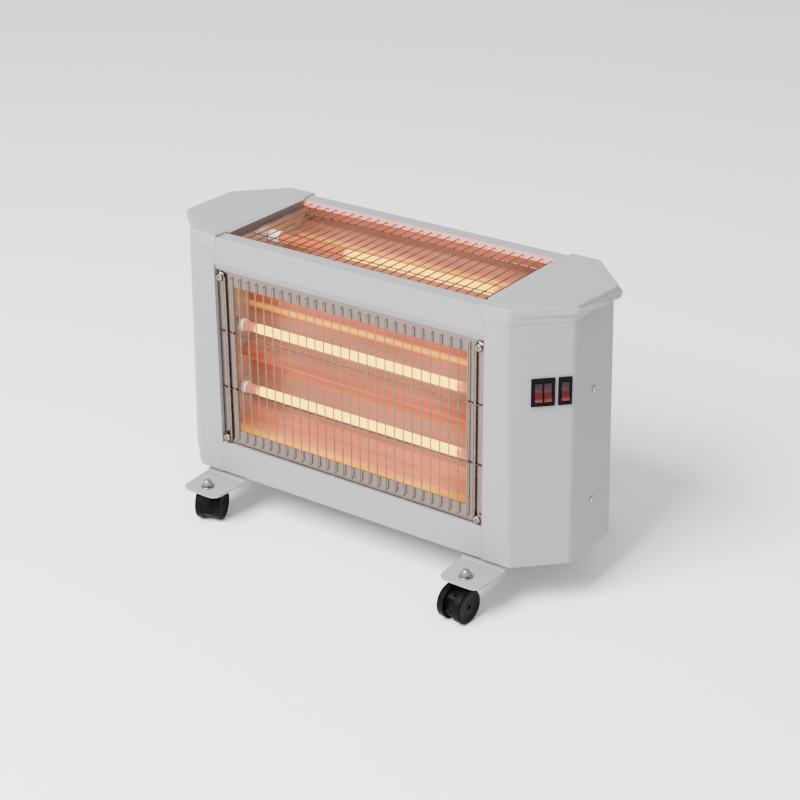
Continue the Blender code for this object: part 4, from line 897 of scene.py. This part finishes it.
def tube_along(path: list[Vector], radius: float, sides: int) -> bmesh.types.BMesh:
    """Sweeps a round section along a path.

    Args:
        path: The points of the path.
        radius: The section's radius.
        sides: The section's number of sides.

    Returns:
        The mesh, with both ends closed.
    """
    bm = bmesh.new()
    turn = [2 * math.pi * k / sides for k in range(sides)]
    rows = []
    normal = (path[1] - path[0]).normalized().orthogonal().normalized()
    for i, point in enumerate(path):
        ahead = (path[min(i + 1, len(path) - 1)] - path[max(i - 1, 0)]).normalized()
        normal = (normal - ahead * normal.dot(ahead)).normalized()
        across = ahead.cross(normal)
        rows.append([bm.verts.new(point + (normal * math.cos(a) + across * math.sin(a)) * radius) for a in turn])
    for first, second in zip(rows, rows[1:]):
        for k in range(sides):
            bm.faces.new((first[k - 1], first[k], second[k], second[k - 1]))
    bm.faces.new(rows[0][::-1])
    bm.faces.new(rows[-1])
    return bm


def axes_along(place: Vector, way: Vector) -> Matrix:
    """Axes at a place with Z along a direction.

    Args:
        place: The origin.
        way: The direction of Z.

    Returns:
        The matrix of the axes.
    """
    return Matrix.Translation(place) @ way.to_track_quat("Z", "Y").to_matrix().to_4x4()


def cut_box(obj: bpy.types.Object, low: Point, high: Point, place: Matrix) -> None:
    """Cuts a box out of a piece and keeps the result as plain mesh.

    Args:
        obj: The piece.
        low: The box's lowest corner.
        high: Its highest corner.
        place: The axes in which the corners are given.
    """
    size = [b - a for a, b in zip(low, high)]
    middle = [(a + b) / 2 for a, b in zip(low, high)]
    bm = bmesh.new()
    bmesh.ops.create_cube(bm, size=1.0, matrix=place @ Matrix.Translation(middle) @ Matrix.Diagonal((*size, 1.0)))
    bmesh.ops.recalc_face_normals(bm, faces=bm.faces)
    cutter = mesh_object("cutter", bm)
    modifier = obj.modifiers.new("recess", "BOOLEAN")
    modifier.operation = "DIFFERENCE"
    modifier.solver = "EXACT"
    modifier.object = cutter
    applied(obj)
    obj.data.set_sharp_from_angle(angle=math.radians(PIECE_ANGLE))
    bpy.data.objects.remove(cutter)


# Sub-assemblies


@dataclass
class Shell:
    """The body's folded sheets (side panels, rails, rear panel and pan) and the two moulded end caps."""

    painted: tuple[str, ...] = ("side_panel_left", "side_panel_right", "front_bottom_rail", "rear_panel", "bottom_pan")
    rails: tuple[str, ...] = ("front_top_rail", "rear_top_rail")

    def build(self) -> None:
        """Dresses the sheets and the caps."""
        smoothed(PAINT, *self.painted)
        smoothed(RAIL_PAINT, *self.rails)
        smoothed(CAP_ABS, *[f"end_cap_{side.label}" for side in Side], angle=CAP_ANGLE)


@dataclass
class ReflectorBox:
    """The window frame, both reflectors and the inner end plates."""

    def build(self) -> None:
        """Dresses the chamber's sheets."""
        dress(FRAME_STRIP, "reflector_frame")
        dress(MIRROR, "front_reflector")
        dress(TRAY_MIRROR, "top_reflector")
        dress(ZINC_SHEET, *[f"end_plate_{side.label}" for side in Side])


@dataclass
class HeatingTubes:
    """The three tubes: quartz, ceramic holders, and a real wound coil in place of each plain bar."""

    coil_radius: float = 2.55 * MM
    wire_radius: float = 0.45 * MM
    wire_sides: int = 5
    pitch: float = 2.4 * MM
    wound_half: float = 138.0 * MM
    turn_steps: int = 10
    tip_gap: float = 0.1 * MM

    def build(self) -> None:
        """Dresses the tubes and winds the coils."""
        for tube in Tube:
            smoothed(TOP_QUARTZ if tube is Tube.TOP else QUARTZ, f"quartz_tube_{tube.label}")
            smoothed(CERAMIC, *[f"ceramic_holder_{tube.label}_{side.label}" for side in Side])
            self.wind(tube)

    def wind(self, tube: Tube) -> None:
        """Winds one coil with its two straight leads, in place of the plain bar.

        Args:
            tube: The tube that the coil is in.
        """
        node = f"heating_coil_{tube.label}"
        low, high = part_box(node)
        middle = (Vector(low) + Vector(high)) / 2
        tip = high[0] - self.tip_gap
        half = self.wound_half
        count = round(2 * half / self.pitch) * self.turn_steps
        path = [Vector((x, middle.y, middle.z)) for x in (-tip, -half - self.pitch)]
        for k in range(count + 1):
            angle = 2 * math.pi * k / self.turn_steps
            offset = Vector((0.0, math.cos(angle), math.sin(angle))) * self.coil_radius
            path.append(Vector((-half + 2 * half * k / count, middle.y, middle.z)) + offset)
        path += [Vector((x, middle.y, middle.z)) for x in (half + self.pitch, tip)]
        finish = TOP_COIL if tube is Tube.TOP else COIL
        bm = tube_along(path, self.wire_radius, self.wire_sides)
        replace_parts(new_piece(f"wound_coil_{tube.label}", bm, finish), node)


@dataclass
class Grilles:
    """The wire grilles over the window and over the top opening."""

    def build(self) -> None:
        """Dresses both grilles; their wires keep flat faces, which catch the light one by one."""
        dress(WIRE, "front_grille", "top_grille")


@dataclass
class Screws:
    """Cross-head screws: two on each side face, and one in each loop of the window's end rods."""

    side_head: float = 3.5 * MM
    side_seat: float = 0.3 * MM
    window_head: float = 4.1 * MM
    head_height: float = 2.2 * MM
    head_edge: float = 0.35
    dome_angle: float = 80.0
    dome_points: int = 7
    facets: int = 28
    shank: float = 1.75 * MM
    length: float = 9.0 * MM
    recess: float = 4.0 * MM
    recess_width: float = 0.8 * MM
    window_x: float = 174.0 * MM
    window_heights: tuple[float, float] = (99.5 * MM, 299.5 * MM)
    rod_front: float = -87.9 * MM
    side_levels: dict[str, float] = field(default_factory=lambda: {"lower": 59.0 * MM, "upper": 189.0 * MM})
    half_length: float = 264.0 * MM
    lean: float = 4.7 * MM
    panel_height: float = 278.0 * MM
    panel_bottom: float = 54.0 * MM

    def screw(self, name: str, place: Matrix, seat: float, rim: float, finish: Finish) -> bpy.types.Object:
        """Makes one pan-head screw with a cross recess.

        Args:
            name: The piece's name.
            place: Axes with Z out of the surface.
            seat: The level of the head's underside above the axes' origin.
            rim: The head's radius.
            finish: Its plating.

        Returns:
            The screw.
        """
        crown = seat + self.head_height
        profile = [(0.0, crown)]
        for k in range(self.dome_points):
            a = math.radians(self.dome_angle) * (1 - k / (self.dome_points - 1))
            share = self.head_edge + (1.0 - self.head_edge) * math.sin(a)
            profile.append((rim * math.cos(a), seat + self.head_height * share))
        profile += [(rim, seat), (self.shank, seat), (self.shank, seat - self.length), (0.0, seat - self.length)]
        screw = new_piece(name, lathe(profile, self.facets, place), finish)
        floor, above = seat + self.head_height * self.head_edge, seat + self.head_height * 2
        long, thin = self.recess / 2, self.recess_width / 2
        for x, y in ((long, thin), (thin, long)):
            cut_box(screw, (-x, -y, floor), (x, y, above), place)
        return screw

    def build(self) -> None:
        """Makes the eight screws."""
        for side in Side:
            way = Vector((side.sign * self.panel_height, 0.0, self.lean)).normalized()
            for label, level in self.side_levels.items():
                x = side.sign * (self.half_length - self.lean * level / self.panel_height)
                place = axes_along(Vector((x, 0.0, self.panel_bottom + level)), way)
                name = f"{side.label}_{label}"
                piece = self.screw(f"cross_screw_{name}", place, self.side_seat, self.side_head, ZINC)
                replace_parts(piece, f"side_screw_{name}")
            for i, z in enumerate(self.window_heights):
                place = axes_along(Vector((side.sign * self.window_x, self.rod_front, z)), Vector((0, -1, 0)))
                self.screw(f"window_screw_{side.label}_{i}", place, 0.0, self.window_head, NICKEL)


@dataclass
class SwitchPanel:
    """The two switch housings and their three rockers."""

    rockers: tuple[str, ...] = ("left", "middle", "right")

    def build(self) -> None:
        """Dresses the switches."""
        dress(BLACK, "double_switch_housing", "single_switch_housing")
        dress(RED, *[f"rocker_{label}" for label in self.rockers])


@dataclass
class Undercarriage:
    """Brackets, castor bodies, and smooth wheels and stems in place of the faceted ones."""

    wheel_radius: float = 19.8 * MM
    wheel_width: float = 9.2 * MM
    wheel_offset: float = 6.3 * MM
    wheel_facets: int = 56
    heel: float = 0.5 * MM
    # The tread's rounded shoulder: millimetres in from the radius, and back from the face.
    shoulder: tuple[tuple[float, float], ...] = ((0.0, 2.2), (0.25, 1.3), (0.9, 0.55), (2.0, 0.15))
    # The low rim's two edges, as shares of the wheel's radius.
    rim: tuple[float, float] = (0.80, 0.76)
    rim_drop: float = 0.5 * MM
    face_drop: float = 0.7 * MM
    hub_radius: float = 6.4 * MM
    bore: float = 2.3 * MM

    bracket_top: float = 46.0 * MM
    washer_gap: float = 0.3 * MM
    nut_gap: float = 1.25 * MM
    stem_foot: float = 12.3 * MM
    stem_above: float = 5.0 * MM
    stem_radius: float = 4.0 * MM
    stem_facets: int = 32
    collar_radius: float = 8.0 * MM
    collar_drop: float = 2.3 * MM
    collar_height: float = 2.0 * MM
    # Radius and height of each point, in millimetres above the washer's or the nut's underside.
    washer: tuple[tuple[float, float], ...] = ((4.2, 0.0), (4.2, 1.2), (7.4, 1.2), (7.7, 0.9), (7.7, 0.0))
    washer_facets: int = 40
    nut: tuple[tuple[float, float], ...] = ((0.0, 3.6), (5.4, 3.6), (6.45, 3.0), (6.45, 0.5), (5.8, 0.0), (0.0, 0.0))
    nut_sides: int = 6
    dome_radius: float = 5.0 * MM
    dome_rise: float = 4.9 * MM
    dome_level: float = 3.5 * MM
    dome_foot: float = 3.4 * MM
    dome_step: float = 15.0
    dome_points: int = 6
    dome_facets: int = 36

    def build(self) -> None:
        """Dresses the brackets and castor bodies, and builds the wheels and stems."""
        smoothed(PAINT, *[f"bracket_{side.label}" for side in Side])
        for joint in frame["joints"]:
            name = joint["name"]
            if name.endswith("_roll"):
                self.wheel(name.removeprefix("wheel_").removesuffix("_roll"), joint)
            elif name.endswith("_swivel"):
                castor = name.removeprefix("castor_").removesuffix("_swivel")
                smoothed(BLACK, f"castor_body_{castor}")
                self.stem(castor, Vector(joint["pos_m"]))

    def wheel(self, castor: str, joint: dict) -> None:
        """Builds one wheel: tread with rounded edges and a plain face inside a low rim.

        Args:
            castor: The castor's end and side with the word inner or outer.
            joint: The record's joint that the wheel turns on.
        """
        way = Vector(joint["axis"]) * (-1 if castor.endswith("inner") else 1)
        place = axes_along(Vector(joint["pos_m"]) + way * self.wheel_offset, way)
        r, w = self.wheel_radius, self.wheel_width
        profile = [(self.bore, 0.0), (r - self.heel, 0.0), (r, self.heel)]
        profile += [(r - inward * MM, w - back * MM) for inward, back in self.shoulder]
        profile += [(r * self.rim[0], w), (r * self.rim[1], w - self.rim_drop)]
        profile += [(self.hub_radius, w - self.face_drop), (self.bore, w - self.face_drop)]
        bm = lathe(profile, self.wheel_facets, place)
        wheel = new_piece(f"wheel_{castor}_tyre", bm, BLACK, f"wheel_{castor}")
        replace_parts(wheel, f"castor_wheel_{castor}")

    def stem(self, castor: str, spot: Vector) -> None:
        """Builds one castor stem with its collar, washer and hexagonal dome nut.

        Args:
            castor: The castor's end and side.
            spot: The stem's place.
        """
        axis = Matrix.Translation((spot.x, spot.y, 0.0))
        top = self.bracket_top + self.washer_gap
        tip = top + self.stem_above
        under = self.bracket_top - self.collar_drop
        foot = under - self.collar_height
        pin = [(0.0, tip), (self.stem_radius, tip), (self.stem_radius, under), (self.collar_radius, under)]
        pin += [(self.collar_radius, foot), (self.stem_radius, foot)]
        pin += [(self.stem_radius, self.stem_foot), (0.0, self.stem_foot)]
        bm = lathe(pin, self.stem_facets, axis)
        lathe([(radius * MM, top + height * MM) for radius, height in self.washer], self.washer_facets, axis, bm)
        seat = top + self.nut_gap
        lathe([(radius * MM, seat + height * MM) for radius, height in self.nut], self.nut_sides, axis, bm)
        angles = [math.radians(self.dome_step * k) for k in range(self.dome_points)]
        level = seat + self.dome_level
        dome = [(self.dome_radius * math.cos(a), level + self.dome_rise * math.sin(a)) for a in angles]
        crown = level + self.dome_rise
        lathe([(0.0, seat + self.dome_foot), *dome, (0.0, crown)], self.dome_facets, axis, bm)
        piece = new_piece(f"stem_and_dome_nut_{castor}", bm, DULL_ZINC)
        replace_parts(piece, f"castor_stem_{castor}")


@dataclass
class Wiring:
    """The wires inside, the terminal block, the tip-over switch and the cable inlet."""

    def build(self) -> None:
        """Dresses the electrical fittings."""
        smoothed(PVC, "wiring_harness", angle=WIRE_ANGLE)
        dress(CERAMIC, "terminal_block")
        dress(BLACK, "tilt_switch")
        smoothed(BLACK, "cord_inlet")


@dataclass
class Studio:
    """The pale floor, the soft light and the camera at the photograph's viewing angle."""

    azimuth: float = 35.75
    elevation: float = 25.07
    roll: float = -0.40
    place: Point = (1.1621, -1.5995, 1.0850)
    lens: float = 86.4
    sensor: float = 36.0
    nearest: float = 0.01
    floor_half: float = 6.0
    surround: float = 1.05
    key_place: Point = (-0.25, -2.05, 2.45)
    key_target: Point = (0.0, 0.0, 0.18)
    key_size: float = 1.6
    key_power: float = 325.0

    def build(self) -> None:
        """Makes the floor, the light and the camera."""
        self.floor()
        self.light()
        self.camera()

    def floor(self) -> None:
        """Makes the pale floor."""
        bm = bmesh.new()
        half = self.floor_half
        corners = ((-half, -half, 0), (half, -half, 0), (half, half, 0), (-half, half, 0))
        bm.faces.new([bm.verts.new(corner) for corner in corners])
        floor = mesh_object("studio_floor", bm)
        floor.data.materials.append(VINYL.material())

    def light(self) -> None:
        """Makes the pale surround and the large soft light in front of the heater."""
        world = bpy.data.worlds.new("studio")
        world.use_nodes = True
        background = world.node_tree.nodes["Background"]
        background.inputs["Color"].default_value = linear("#FFFFFF")
        background.inputs["Strength"].default_value = self.surround
        bpy.context.scene.world = world
        data = bpy.data.lights.new("key_light", "AREA")
        data.shape = "SQUARE"
        data.size = self.key_size
        data.energy = self.key_power
        lamp = bpy.data.objects.new("key_light", data)
        lamp.visible_camera = False
        ahead = Vector(self.key_target) - Vector(self.key_place)
        lamp.matrix_world = Matrix.Translation(self.key_place) @ ahead.to_track_quat("-Z", "Y").to_matrix().to_4x4()
        bpy.context.scene.collection.objects.link(lamp)

    def camera(self) -> None:
        """Places the camera."""
        az, el, roll = (math.radians(a) for a in (self.azimuth, self.elevation, self.roll))
        ahead = Vector((-math.sin(az) * math.cos(el), math.cos(az) * math.cos(el), -math.sin(el)))
        right = ahead.cross(Vector((0, 0, 1))).normalized()
        up = right.cross(ahead)
        turned_right = right * math.cos(roll) + up * math.sin(roll)
        turned_up = up * math.cos(roll) - right * math.sin(roll)
        axes = Matrix((turned_right, turned_up, -ahead)).transposed().to_4x4()
        data = bpy.data.cameras.new("camera")
        data.lens = self.lens
        data.sensor_width = self.sensor
        data.sensor_fit = "HORIZONTAL"
        data.clip_start = self.nearest
        camera = bpy.data.objects.new("camera", data)
        camera.matrix_world = Matrix.Translation(self.place) @ axes
        bpy.context.scene.collection.objects.link(camera)
        bpy.context.scene.camera = camera


def main() -> None:
    """Builds the studio and the sub-assemblies in order, and reports each one's new pieces."""
    logging.basicConfig(level=logging.INFO, format="%(message)s")
    assemblies = (
        Studio(),
        Shell(),
        ReflectorBox(),
        HeatingTubes(),
        Grilles(),
        Screws(),
        SwitchPanel(),
        Undercarriage(),
        Wiring(),
    )
    for assembly in assemblies:
        before = set(bpy.data.objects.keys())
        assembly.build()
        made = sorted(set(bpy.data.objects.keys()) - before)
        LOG.info("%s: %s", type(assembly).__name__, ", ".join(made) or "finishes only")
    bpy.context.view_layer.update()


if __name__ == "__main__":
    main()
